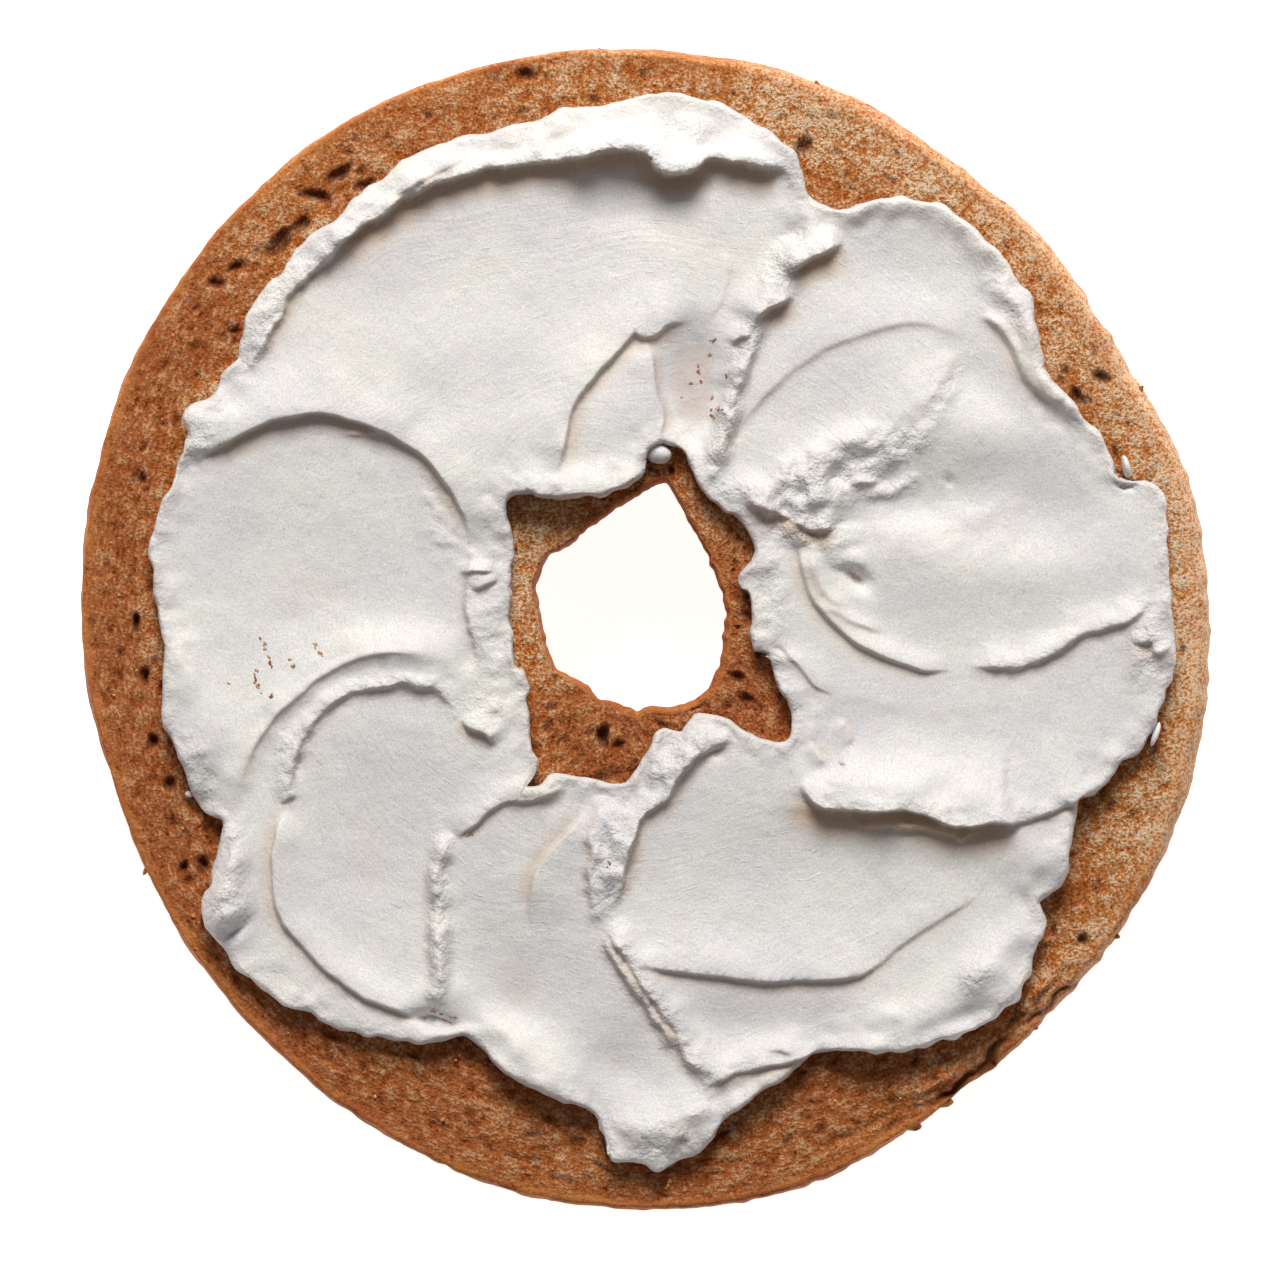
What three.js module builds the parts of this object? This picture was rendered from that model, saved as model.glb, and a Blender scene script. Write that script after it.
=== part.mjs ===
// Half a bagel, cut face up, spread with cream cheese in seven overlapping knife strokes.
// Millimetres, +Z up. The bread rests on z = 0 and the hole is on the Z axis.
import * as THREE from 'three';

// Driving sizes of the bread.
const BREAD_HEIGHT = 18;          // from the flat of the crust to the cut face
const WIDEST_HEIGHT = 14;         // where the rim bulges furthest out
const HOLE_WIDEST_DROP = 2.5;     // the hole is narrowest this far below the cut face
const HOLE_LIP = 0.8;             // rounding at the top of the hole
const OUTER_CURL = 15;            // width of the crust that curves up to the rim
const INNER_CURL = 9;             // width of the crust that curves up into the hole
const CRUST_POWER = 2.3;          // 2 is an ellipse, more is squarer
const CUT_INSET = 0.9;            // the rim bulges past the cut face by this much
const CUT_INSET_EXTRA = 1.4;      // and by this much more on its right side
const INSET_DIRECTION = 0;        // degrees, the side where it bulges most
const BREAD_STEPS = 96;

// Driving sizes of the cream cheese.
const GAP = 0.3;                  // between bread and cream
const SPREAD = 2;                 // plain thickness
const EDGE_ROUND = 1.3;           // width of the rounded edge
const EDGE_LIP = 0.3;             // height of the upright foot of the edge
const UNDERCUT = 0.25;            // the underside stays this far inside the outline
const CREAM_STEPS = 192;
const CREAM_SPANS = 16;           // across the stroke, between the two rounded edges
const TAPER = 5;                  // a ridge fades out over this length at each end
const CURVE_STEPS = 5;            // straight pieces between two named points of a ridge

// Distance of the bread's rim from the axis, every 30 degrees from +X, anticlockwise.
const RIM_RADII = [52.1, 50.6, 52, 53.6, 54.3, 53.5, 52.1, 51.3, 52.4, 53.6, 52.2, 52.2];

// Edge of the hole, anticlockwise from +X.
const HOLE = [
  [7.5, 0.4], [7.4, 2.7], [6, 6.3], [3.5, 10.8], [1.4, 13.4], [-0.9, 12.1], [-3.7, 10.3], [-8.7, 6.5],
  [-10.1, 3.6], [-9.4, 0.2], [-9.2, -1.5], [-7.4, -4.2], [-3.4, -6.7], [0.5, -7.5], [3.7, -7], [6, -5.2],
  [7.1, -2.9],
];

// Outer edge of the cream, clockwise from the blob on its left side.
const CREAM_OUTER = [
  [-42.4, 19.8], [-39.8, 21.3], [-37.3, 25.2], [-36.2, 29], [-34.2, 32], [-31.5, 35.6], [-28, 38],
  [-22.5, 42.8], [-17, 45.1], [-9.7, 46.9], [-4.1, 48.1], [0.5, 49.3], [5.1, 48.8], [8.7, 47.3],
  [12.4, 45], [14.3, 42.2], [15.4, 39.5], [18.9, 38.7], [22.5, 39.8], [25.3, 39.5], [29, 37.8],
  [31.7, 35.5], [34, 32.1], [35.7, 30.2], [36.7, 24.7], [40.5, 19.2], [42.9, 15.8], [45.1, 13.7],
  [47.4, 12.6], [48, 7.7], [48.7, -1], [47.1, -8.4], [43.7, -12.5], [40, -15.7], [38.9, -22.2],
  [36.3, -25.2], [36.6, -27.8], [34.1, -34.1], [28.1, -37.6], [23.5, -39], [16.1, -39], [10.1, -43.1],
  [5.1, -47.9], [0.9, -50], [-3, -48.7], [-4.3, -45.5], [-12.9, -40.8], [-16.8, -37.6], [-22.5, -37.9],
  [-29.4, -36.3], [-37.3, -31.4], [-40.8, -25.4], [-38.9, -19], [-40.5, -16.5], [-44.4, -8.8],
  [-44.2, -1.5], [-45.5, 7.3], [-43.5, 13.7],
];

// Inner edge of the cream, clockwise from its upper left corner.
const CREAM_INNER = [
  [-12.3, 12.1], [-6, 12], [-2.8, 12.6], [0, 14.8], [1.8, 17], [3.6, 16], [5.1, 12.8], [9.2, 9.1],
  [9.9, 6.9], [8.3, 5.2], [9.7, -1], [11.5, -2.6], [13.1, -7.6], [12.6, -10.4], [8.5, -7.9], [5.5, -7.8],
  [1.6, -9.6], [-1.4, -13.7], [-7.6, -13.2], [-10.6, -14.2], [-10.2, -10], [-10.8, -5], [-12.3, 0],
  [-12, 5.5],
];

// Ridges of the cream. Walking along a line, the steep side is on the right hand.
const RIDGES = [
  {
    name: 'roll of the north stroke', height: 2.6, soft: 2.9, steep: 0.9,
    line: [
      [-36.2, 26.4], [-33.6, 30.6], [-30, 34.4], [-25.4, 38.2], [-20, 40.6], [-13, 42.3], [-5, 43.9],
      [3, 43.2], [11, 42.8], [13.6, 40.6],
    ],
  },
  {
    name: 'edge of the north layer', height: 0.9, soft: 4, steep: 0.7,
    line: [[-8.8, 13.2], [-7.4, 17], [-4.6, 23.8], [-1.6, 26.9], [1.2, 27], [2.5, 29], [5.2, 28.3]],
  },
  {
    name: 'roll of the west stroke', height: 2.1, soft: 3.4, steep: 0.9,
    line: [
      [-41.6, 15.4], [-38.6, 17.4], [-35, 19.2], [-31, 19.8], [-27, 19.4], [-21, 17], [-17, 12.5],
      [-15.9, 7],
    ],
  },
  {
    name: 'outer ridge of the south-west stroke', height: 1.2, soft: 1.8, steep: 0.8,
    line: [[-38.2, -16.5], [-35.3, -9.4], [-30, -4.7], [-27, -3.4], [-22.5, -2.8], [-18, -3]],
  },
  {
    name: 'inner ridge of the south-west stroke', height: 1.1, soft: 1, steep: 0.8,
    line: [[-32.9, -16], [-31.8, -9.2], [-26.5, -5.3], [-22, -5.1], [-19, -5.5], [-14, -9.7]],
  },
  {
    name: 'step round the south-west stroke', height: 0.7, soft: 2.5, steep: 0.7,
    line: [[-33.2, -15], [-34, -20], [-32.7, -27], [-30, -30.3], [-26, -33.4], [-20.3, -36.3]],
  },
  {
    name: 'lump at the left edge', height: 1, soft: 1.3, steep: 1.3,
    line: [[-38.4, -17.4], [-38.6, -21], [-39.2, -24], [-39, -26.6]],
  },
  {
    name: 'left ridge of the south stroke', height: 1.3, soft: 1.1, steep: 1,
    line: [[-17.4, -17.6], [-19.4, -23], [-19, -30], [-19.6, -34.8]],
  },
  {
    name: 'top roll of the south stroke', height: 1, soft: 1.3, steep: 0.8,
    line: [[-17.4, -18.6], [-13.2, -15.9], [-7, -14.4]],
  },
  {
    name: 'rim of the south stroke', height: 0.9, soft: 3, steep: 1.4,
    line: [[4.5, -44.6], [-3.2, -45.2], [-10, -40.8], [-14, -37.8]],
  },
  {
    name: 'wall of the south-east stroke', height: 1.7, soft: 1.8, steep: 0.7,
    line: [[-2.4, -23.5], [-1.4, -19.5], [0.3, -16.6], [2.3, -14.8], [4, -12.2], [8.6, -9]],
  },
  {
    name: 'lower wall of the south-east stroke', height: 1.9, soft: 3, steep: 0.7,
    line: [[-4.5, -26.5], [-4.2, -30], [-1, -33.8], [2.2, -38.5], [5.5, -42]],
  },
  {
    name: 'step inside the south-east stroke', height: 1, soft: 2.6, steep: 0.7,
    line: [[-1.5, -30.2], [5, -31.7], [14, -32.1], [20, -31.2], [26, -27.2], [31, -23.6]],
  },
  {
    name: 'rim of the south-east stroke', height: 0.8, soft: 2.5, steep: 1.8,
    line: [[14, -38.6], [20, -36.6], [26, -35.2], [31, -33], [34.5, -29]],
  },
  {
    name: 'lip of the east stroke', height: 2.6, soft: 3.4, steep: 0.8,
    line: [
      [14.6, -13.8], [15.3, -15.8], [20, -16.8], [24.5, -17], [29, -18], [33.3, -17.6], [41, -15.2],
      [45, -11.6],
    ],
  },
  {
    name: 'long edge above the east stroke', height: 1, soft: 2.4, steep: 0.7,
    line: [
      [14.3, 7], [15.2, 3], [18, 0], [22, -2.7], [28, -3.8], [34, -3.5], [38.5, -1.8], [42, 0], [46, 2.2],
    ],
  },
  {
    name: 'soft crest of the east stroke', height: 0.6, soft: 2.6, steep: 1.2,
    line: [[12.5, -1.5], [18, -5.6], [23, -6.9], [29, -7], [33, -6]],
  },
  {
    name: 'crumbled crest', height: 1.3, soft: 2.2, steep: 0.9,
    line: [[7.5, 13], [11, 12.7], [16.5, 15.7], [21.5, 17.4], [25, 18]],
  },
  {
    name: 'soft crest of the north-east stroke', height: 0.6, soft: 1.8, steep: 1.4,
    line: [[19, 9.4], [27, 9], [32.5, 11.6]],
  },
  {
    name: 'upper crest of the north-east stroke', height: 0.45, soft: 2.4, steep: 0.9,
    line: [[7.5, 17.5], [16, 25.6], [24.5, 28.3], [30, 27]],
  },
  {
    name: 'rim of the north-east stroke', height: 1, soft: 1.2, steep: 1.1,
    line: [[17, 36.6], [24, 38.4], [31, 34.6], [33, 31.8]],
  },
  {
    name: 'second rim of the north-east stroke', height: 1.3, soft: 1.7, steep: 1,
    line: [[31.5, 30.2], [34.9, 25.6], [38.6, 20]],
  },
];

// Broad swells and hollows: centre, height, half widths and turn in degrees.
const SWELLS = [
  { x: -8, y: 36, height: -0.9, along: 24, across: 5.5, turn: 4 },
  { x: -22, y: 23.5, height: 1.2, along: 14, across: 5, turn: 4 },
  { x: -6, y: 19, height: 0.9, along: 7, across: 7, turn: 0 },
  { x: -31, y: 9, height: -0.9, along: 10, across: 10, turn: 0 },
  { x: -18, y: -1, height: 1.1, along: 6, across: 3.5, turn: 0 },
  { x: -25, y: -17, height: -0.7, along: 7, across: 12, turn: 0 },
  { x: -12, y: -30, height: -0.8, along: 6, across: 9, turn: 10 },
  { x: 12, y: -22, height: -0.8, along: 14, across: 6, turn: 8 },
  { x: 28, y: -10, height: -0.5, along: 12, across: 4, turn: 0 },
  { x: 30, y: 14, height: -0.7, along: 9, across: 9, turn: 0 },
  { x: 22, y: 33, height: -0.6, along: 7, across: 4, turn: 0 },
];

const bagelCrust = new THREE.MeshStandardMaterial({ color: '#b5682f', roughness: 0.85, metalness: 0 });
const creamCheese = new THREE.MeshStandardMaterial({ color: '#ece8de', roughness: 0.45, metalness: 0 });

const clamp = (value, low, high) => Math.min(high, Math.max(low, value));
const mix = (a, b, share) => a + (b - a) * share;
const smooth = (share) => share * share * (3 - 2 * share);

// Distance of a closed outline from the axis, as a function of the angle.
function outlineRadius(points) {
  const curve = new THREE.CatmullRomCurve3(
    points.map(([x, y]) => new THREE.Vector3(x, y, 0)), true, 'centripetal');
  const samples = curve.getPoints(points.length * 12)
    .map((p) => ({ angle: Math.atan2(p.y, p.x), radius: Math.hypot(p.x, p.y) }))
    .sort((a, b) => a.angle - b.angle);
  return (angle) => {
    const turned = Math.atan2(Math.sin(angle), Math.cos(angle));
    let next = samples.findIndex((s) => s.angle > turned);
    if (next < 0) next = 0;
    const before = samples[(next + samples.length - 1) % samples.length];
    const after = samples[next];
    const span = (after.angle - before.angle + 2 * Math.PI) % (2 * Math.PI);
    const share = span > 0 ? ((turned - before.angle + 2 * Math.PI) % (2 * Math.PI)) / span : 0;
    return mix(before.radius, after.radius, clamp(share, 0, 1));
  };
}

// The rim, from radii at even angles.
function rimPoints() {
  return RIM_RADII.map((radius, i) => {
    const angle = (i / RIM_RADII.length) * 2 * Math.PI;
    return [radius * Math.cos(angle), radius * Math.sin(angle)];
  });
}

// A closed ring: one section of [r, z] pairs for each angle, joined round the axis.
function ringGeometry(steps, sectionAt) {
  const positions = [];
  const index = [];
  let count = 0;
  for (let i = 0; i < steps; i += 1) {
    const angle = (i / steps) * 2 * Math.PI;
    const section = sectionAt(angle);
    count = section.length;
    for (const [r, z] of section) {
      positions.push(r * Math.cos(angle), r * Math.sin(angle), z);
    }
  }
  for (let i = 0; i < steps; i += 1) {
    const a = i * count;
    const b = ((i + 1) % steps) * count;
    for (let k = 0; k < count; k += 1) {
      const next = (k + 1) % count;
      index.push(a + k, b + k, a + next);
      index.push(a + next, b + k, b + next);
    }
  }
  const geometry = new THREE.BufferGeometry();
  geometry.setAttribute('position', new THREE.Float32BufferAttribute(positions, 3));
  geometry.setIndex(index);
  geometry.computeVertexNormals();
  return geometry;
}

// Points of a squared-off quarter curve from angle 0 to 90 degrees, both ends included.
function quarter(spans, place) {
  const points = [];
  for (let i = 0; i <= spans; i += 1) {
    const angle = (i / spans) * Math.PI * 0.5;
    const c = clamp(Math.cos(angle), 0, 1) ** (2 / CRUST_POWER);
    const s = Math.sin(angle) ** (2 / CRUST_POWER);
    points.push(place(i === spans ? 0 : c, s));
  }
  return points;
}

// The bread: cut face, hole wall, flat of the crust, curved crust and rim.
function breadGeometry() {
  const rim = outlineRadius(rimPoints());
  const hole = outlineRadius(HOLE);
  return ringGeometry(BREAD_STEPS, (angle) => {
    const r = rim(angle);
    const h = hole(angle);
    const facing = Math.cos(angle - THREE.MathUtils.degToRad(INSET_DIRECTION));
    const inset = CUT_INSET + CUT_INSET_EXTRA * smooth(clamp(facing * 0.5 + 0.5, 0, 1));
    const holeHeight = BREAD_HEIGHT - HOLE_WIDEST_DROP;
    const cutOuter = r - inset;
    const cutInner = h + HOLE_LIP;
    const section = [];
    for (const share of [0, 1 / 3, 2 / 3]) {
      section.push([mix(cutOuter, cutInner, share), BREAD_HEIGHT]);
    }
    section.push([cutInner, BREAD_HEIGHT]);
    section.push([h + HOLE_LIP * 0.25, BREAD_HEIGHT - HOLE_WIDEST_DROP * 0.35]);
    section.push(...quarter(4, (c, s) => [h + INNER_CURL * (1 - c), holeHeight * (1 - s)]));
    section.push(...quarter(6, (c, s) => [r - OUTER_CURL * (1 - c), WIDEST_HEIGHT * (1 - s)]).reverse());
    section.push([r - inset * 0.14, mix(WIDEST_HEIGHT, BREAD_HEIGHT, 0.5)]);
    section.push([r - inset * 0.5, mix(WIDEST_HEIGHT, BREAD_HEIGHT, 0.85)]);
    return section;
  });
}

// Straight pieces of a ridge, with the length walked so far.
function ridgePieces({ line }) {
  const curve = new THREE.CatmullRomCurve3(line.map(([x, y]) => new THREE.Vector3(x, y, 0)));
  const points = curve.getPoints((line.length - 1) * CURVE_STEPS);
  const pieces = [];
  let walked = 0;
  for (let i = 1; i < points.length; i += 1) {
    const length = points[i].distanceTo(points[i - 1]);
    pieces.push({ from: points[i - 1], to: points[i], start: walked, length });
    walked += length;
  }
  return { pieces, total: walked };
}

// Height that one ridge adds at x, y: soft on its left side, steep on its right.
function ridgeHeight(ridge, x, y) {
  let best = Infinity;
  let side = 0;
  let along = 0;
  for (const { from, to, start, length } of ridge.path.pieces) {
    const ux = to.x - from.x;
    const uy = to.y - from.y;
    const share = clamp(((x - from.x) * ux + (y - from.y) * uy) / (length * length), 0, 1);
    const dx = x - from.x - share * ux;
    const dy = y - from.y - share * uy;
    const distance = Math.hypot(dx, dy);
    if (distance < best) {
      best = distance;
      side = ux * dy - uy * dx;
      along = start + share * length;
    }
  }
  const width = side > 0 ? ridge.soft : ridge.steep;
  const taper = Math.min(TAPER, ridge.path.total * 0.25);
  const fade = smooth(clamp(Math.min(along, ridge.path.total - along) / taper, 0, 1));
  return ridge.height * fade * Math.exp(-((best / width) ** 2));
}

// Height that one broad swell adds at x, y.
function swellHeight(swell, x, y) {
  const turn = THREE.MathUtils.degToRad(swell.turn);
  const u = (x - swell.x) * Math.cos(turn) + (y - swell.y) * Math.sin(turn);
  const v = (y - swell.y) * Math.cos(turn) - (x - swell.x) * Math.sin(turn);
  return swell.height * Math.exp(-((u / swell.along) ** 2) - (v / swell.across) ** 2);
}

// The cream cheese: a flat underside and a top that follows the strokes.
function creamGeometry() {
  const outer = outlineRadius(CREAM_OUTER);
  const inner = outlineRadius(CREAM_INNER);
  const ridges = RIDGES.map((ridge) => ({ ...ridge, path: ridgePieces(ridge) }));
  const base = BREAD_HEIGHT + GAP;
  const thickness = (x, y) => {
    let sum = SPREAD;
    for (const ridge of ridges) sum += ridgeHeight(ridge, x, y);
    for (const swell of SWELLS) sum += swellHeight(swell, x, y);
    return sum;
  };
  const edgeSteps = [0, 0.12, 0.45, 1];
  return ringGeometry(CREAM_STEPS, (angle) => {
    const r1 = inner(angle);
    const r2 = outer(angle);
    const radii = edgeSteps.map((share) => r1 + share * EDGE_ROUND);
    for (let i = 1; i < CREAM_SPANS; i += 1) {
      radii.push(mix(r1 + EDGE_ROUND, r2 - EDGE_ROUND, i / CREAM_SPANS));
    }
    radii.push(...edgeSteps.map((share) => r2 - share * EDGE_ROUND).reverse());
    const section = radii.map((r) => {
      const depth = clamp(Math.min(r - r1, r2 - r) / EDGE_ROUND, 0, 1);
      const rounded = Math.sqrt(1 - (1 - depth) ** 2);
      const full = thickness(r * Math.cos(angle), r * Math.sin(angle));
      return [r, base + EDGE_LIP + rounded * (full - EDGE_LIP)];
    });
    section.push([r2 - UNDERCUT, base]);
    section.push([mix(r1, r2, 0.5), base]);
    section.push([r1 + UNDERCUT, base]);
    return section.reverse();
  });
}

function namedMesh(name, geometry, material) {
  const mesh = new THREE.Mesh(geometry, material);
  mesh.name = name;
  return mesh;
}

const bagel = new THREE.Group();
bagel.add(namedMesh('bagel_half', breadGeometry(), bagelCrust));
bagel.add(namedMesh('cream_cheese', creamGeometry(), creamCheese));

export default bagel;
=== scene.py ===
"""Looks of half a bagel, cut face up, spread with cream cheese.

The bread and the cream are closed rings. Each starts as a plain torus made by bmesh, and a
section rule then carries every vertex to its place. Sizes in the classes are millimetres, in
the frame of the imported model: +Z up through the hole, +Y towards the top of the photograph.
"""

import logging
import math
from dataclasses import dataclass, field
from enum import Enum
from functools import lru_cache

import bmesh
import bpy
import numpy as np
from mathutils import Matrix, Vector
from mathutils.kdtree import KDTree

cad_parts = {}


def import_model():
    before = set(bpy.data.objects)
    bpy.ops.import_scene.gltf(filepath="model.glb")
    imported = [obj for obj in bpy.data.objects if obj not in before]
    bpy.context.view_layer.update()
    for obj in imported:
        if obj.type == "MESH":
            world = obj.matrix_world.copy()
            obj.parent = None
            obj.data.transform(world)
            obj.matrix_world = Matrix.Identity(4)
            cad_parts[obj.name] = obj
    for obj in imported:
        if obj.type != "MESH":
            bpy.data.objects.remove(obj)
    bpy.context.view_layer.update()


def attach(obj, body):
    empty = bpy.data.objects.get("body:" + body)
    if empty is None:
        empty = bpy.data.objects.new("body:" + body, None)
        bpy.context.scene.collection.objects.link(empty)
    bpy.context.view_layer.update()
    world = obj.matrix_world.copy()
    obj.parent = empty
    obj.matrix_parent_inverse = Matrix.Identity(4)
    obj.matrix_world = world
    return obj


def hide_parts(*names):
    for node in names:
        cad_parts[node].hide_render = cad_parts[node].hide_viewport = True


LOG = logging.getLogger("bagel")
MM = 0.001
FIELD = 64.0  # half width in mm of the square that the noise tables cover

Point = tuple[float, float]
Grid = np.ndarray


# Small tools ---------------------------------------------------------------------------------


def linear(hex_colour: str) -> tuple[float, float, float, float]:
    """Turns an sRGB hex colour to linear.

    Args:
        hex_colour: six hex digits, such as "B5682F".

    Returns:
        Linear red, green, blue and an alpha of 1.
    """
    parts = [int(hex_colour[i : i + 2], 16) / 255 for i in (0, 2, 4)]
    low = [p / 12.92 if p <= 0.04045 else ((p + 0.055) / 1.055) ** 2.4 for p in parts]
    return low[0], low[1], low[2], 1.0


def smooth(share: Grid) -> Grid:
    """Eases a share that is cut to 0..1."""
    cut = np.clip(share, 0.0, 1.0)
    return cut * cut * (3.0 - 2.0 * cut)


@lru_cache(maxsize=None)
def noise_table(count: int, seed: int) -> Grid:
    """Gives a seeded square table of values between -1 and 1."""
    return np.random.default_rng(seed).uniform(-1.0, 1.0, (count, count))


def noise(x: Grid, y: Grid, cell: float, seed: int) -> Grid:
    """Smooth noise between -1 and 1 from a seeded table.

    Args:
        x: places in mm.
        y: places in mm.
        cell: distance between two values of the table in mm.
        seed: seed of the table.

    Returns:
        One value for each place.
    """
    count = int(2 * FIELD / cell) + 3
    table = noise_table(count, seed)
    u = (np.clip(x, -FIELD, FIELD) + FIELD) / cell
    v = (np.clip(y, -FIELD, FIELD) + FIELD) / cell
    i, j = u.astype(int), v.astype(int)
    fu, fv = smooth(u - i), smooth(v - j)
    low = table[i, j] * (1 - fu) + table[i + 1, j] * fu
    high = table[i, j + 1] * (1 - fu) + table[i + 1, j + 1] * fu
    return low * (1 - fv) + high * fv


def ragged_noise(x: Grid, y: Grid, cell: float, seed: int) -> Grid:
    """Adds to smooth noise a second one of half its size and strength."""
    return noise(x, y, cell, seed) + 0.5 * noise(x, y, cell / 2, seed + 1)


def spline(points: list[Point], pieces: int = 6, closed: bool = False) -> Grid:
    """Runs a smooth line through points.

    Args:
        points: places in mm.
        pieces: straight pieces between two points.
        closed: whether the line comes back to its start.

    Returns:
        An array of x, y rows.
    """
    p = np.array(points, float)
    if closed:
        q = np.vstack([p[-1], p, p[0], p[1]])
    else:
        q = np.vstack([2 * p[0] - p[1], p, 2 * p[-1] - p[-2]])
    rows = []
    for a, b, c, d in zip(q, q[1:], q[2:], q[3:]):
        for t in np.arange(pieces) / pieces:
            bend = (2 * a - 5 * b + 4 * c - d) * t * t + (3 * b - a - 3 * c + d) * t**3
            rows.append(0.5 * (2 * b + (c - a) * t + bend))
    if not closed:
        rows.append(p[-1])
    return np.array(rows)


class Outline:
    """A closed outline seen from the axis: one radius for each angle."""

    def __init__(self, points: list[Point]) -> None:
        """Samples the outline.

        Args:
            points: places in mm, in order round the axis.
        """
        line = spline(points, 8, closed=True)
        angle = np.arctan2(line[:, 1], line[:, 0])
        order = np.argsort(angle)
        self.angle = angle[order]
        self.distance = np.hypot(line[:, 0], line[:, 1])[order]

    def radius(self, theta: Grid) -> Grid:
        """Gives the radius in mm at each angle in radians."""
        return np.interp(theta, self.angle, self.distance, period=2 * math.pi)


@dataclass(frozen=True)
class Ridge:
    """A raised line of cream. Walking along it, the steep side is on the right hand.

    The height falls away over soft mm on the left and steep mm on the right. Ragged shifts the
    line to and fro, lumps puts small lumps on its crest, lean pushes the crest over the drop, and
    taper is the length over which both ends run out. All are mm, and the name seeds the noise.
    """

    name: str
    line: list[Point]
    height: float
    soft: float
    steep: float
    ragged: float = 0.12
    lumps: float = 0.0
    lean: float = 0.25
    taper: float = 5.0

    def lay(self, x: Grid, y: Grid) -> tuple[Grid, Grid, Grid, Grid]:
        """Works out what the ridge does at each place.

        Args:
            x: places in mm.
            y: places in mm.

        Returns:
            Height added, shift along x, shift along y, and closeness to the foot of the drop
            from 0 to 1.
        """
        path = spline(self.line)
        reach = 2.4 * max(self.soft, self.steep) + 0.8
        low, high = path.min(axis=0) - reach, path.max(axis=0) + reach
        near = (x > low[0]) & (x < high[0]) & (y > low[1]) & (y < high[1])
        xs, ys = x[near], y[near]
        seed = sum(ord(letter) for letter in self.name)
        wx = xs + self.ragged * ragged_noise(xs, ys, 1.6, seed)
        wy = ys + self.ragged * ragged_noise(xs, ys, 1.6, seed + 2)
        step = np.diff(path, axis=0)
        length = np.hypot(step[:, 0], step[:, 1])
        start = np.concatenate([[0.0], np.cumsum(length)])
        best = np.full(wx.shape, 1e9)
        side, along = np.zeros(wx.shape), np.zeros(wx.shape)
        nx, ny = np.zeros(wx.shape), np.zeros(wx.shape)
        for (ax, ay), (ux, uy), size, walked in zip(path, step, length, start):
            share = np.clip(((wx - ax) * ux + (wy - ay) * uy) / (size * size), 0.0, 1.0)
            dx, dy = wx - ax - share * ux, wy - ay - share * uy
            square = dx * dx + dy * dy
            closer = square < best
            best = np.where(closer, square, best)
            side = np.where(closer, ux * dy - uy * dx, side)
            along = np.where(closer, walked + share * size, along)
            nx = np.where(closer, uy / size, nx)
            ny = np.where(closer, -ux / size, ny)
        distance = np.sqrt(best)
        left = side > 0
        fade = smooth(np.minimum(along, start[-1] - along) / min(self.taper, start[-1] * 0.3))
        uneven = 1.0 + 0.22 * noise(xs, ys, 2.6, seed + 4)
        slope = np.where(left, self.soft, self.steep)
        rise = self.height * uneven * np.exp(-((distance / slope) ** 2))
        if self.lumps:
            bumps = 0.5 + 0.6 * noise(xs, ys, 1.5, seed + 5) + 0.5 * noise(xs, ys, 0.8, seed + 6)
            wide = np.where(left, 1.5, 0.8 * self.steep + 0.2)
            rise += self.lumps * np.clip(bumps, 0.0, 1.2) * np.exp(-((distance / wide) ** 2))
        crest = np.where(left, 0.5 * self.soft, self.steep)
        push = self.lean * fade * np.exp(-((distance / crest) ** 2))
        # Mask for the painted shade at the foot of the drop, on the steep side only.
        past_foot = distance - 0.15 - 0.45 * self.height
        foot = fade * np.exp(-((past_foot / (0.25 + 0.65 * self.height)) ** 2)) * (~left)
        out = [np.zeros(x.shape) for _ in range(4)]
        for target, value in zip(out, (rise * fade, push * nx, push * ny, foot)):
            target[near] = value
        return out[0], out[1], out[2], out[3]


@dataclass(frozen=True)
class Swell:
    """A broad swell or hollow of the cream, or a lump: an oval bump, with its turn in degrees."""

    x: float
    y: float
    height: float
    along: float
    across: float
    turn: float = 0.0
    steepness: float = 1.0

    def lay(self, x: Grid, y: Grid) -> Grid:
        """Works out the swell's height.

        Args:
            x: places in mm.
            y: places in mm.

        Returns:
            Height in mm at each place.
        """
        turn = math.radians(self.turn)
        u = (x - self.x) * math.cos(turn) + (y - self.y) * math.sin(turn)
        v = (y - self.y) * math.cos(turn) - (x - self.x) * math.sin(turn)
        away = (u / self.along) ** 2 + (v / self.across) ** 2
        return self.height * np.exp(-(away**self.steepness))


@dataclass(frozen=True)
class Torn:
    """A patch of cream that tore into small lumps: an oval, with its turn in degrees.

    Grain is the lumps' size in mm. The patch's place seeds its noise.
    """

    x: float
    y: float
    height: float
    along: float
    across: float
    turn: float = 0.0
    grain: float = 1.6

    def patch(self) -> Swell:
        """Gives the oval as a swell of height 1."""
        return Swell(self.x, self.y, 1.0, self.along, self.across, self.turn, 1.6)

    def lay(self, x: Grid, y: Grid) -> Grid:
        """Works out the lumps' height.

        Args:
            x: places in mm.
            y: places in mm.

        Returns:
            Height in mm that they add at each place.
        """
        mask = self.patch().lay(x, y)
        seed = int(97 * self.x + 13 * self.y) % 1000 + 400
        bumps = noise(x, y, self.grain, seed) + 0.55 * noise(x, y, 0.55 * self.grain, seed + 1)
        return self.height * mask * (np.clip(bumps, -0.5, 1.0) + 0.3)


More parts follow.
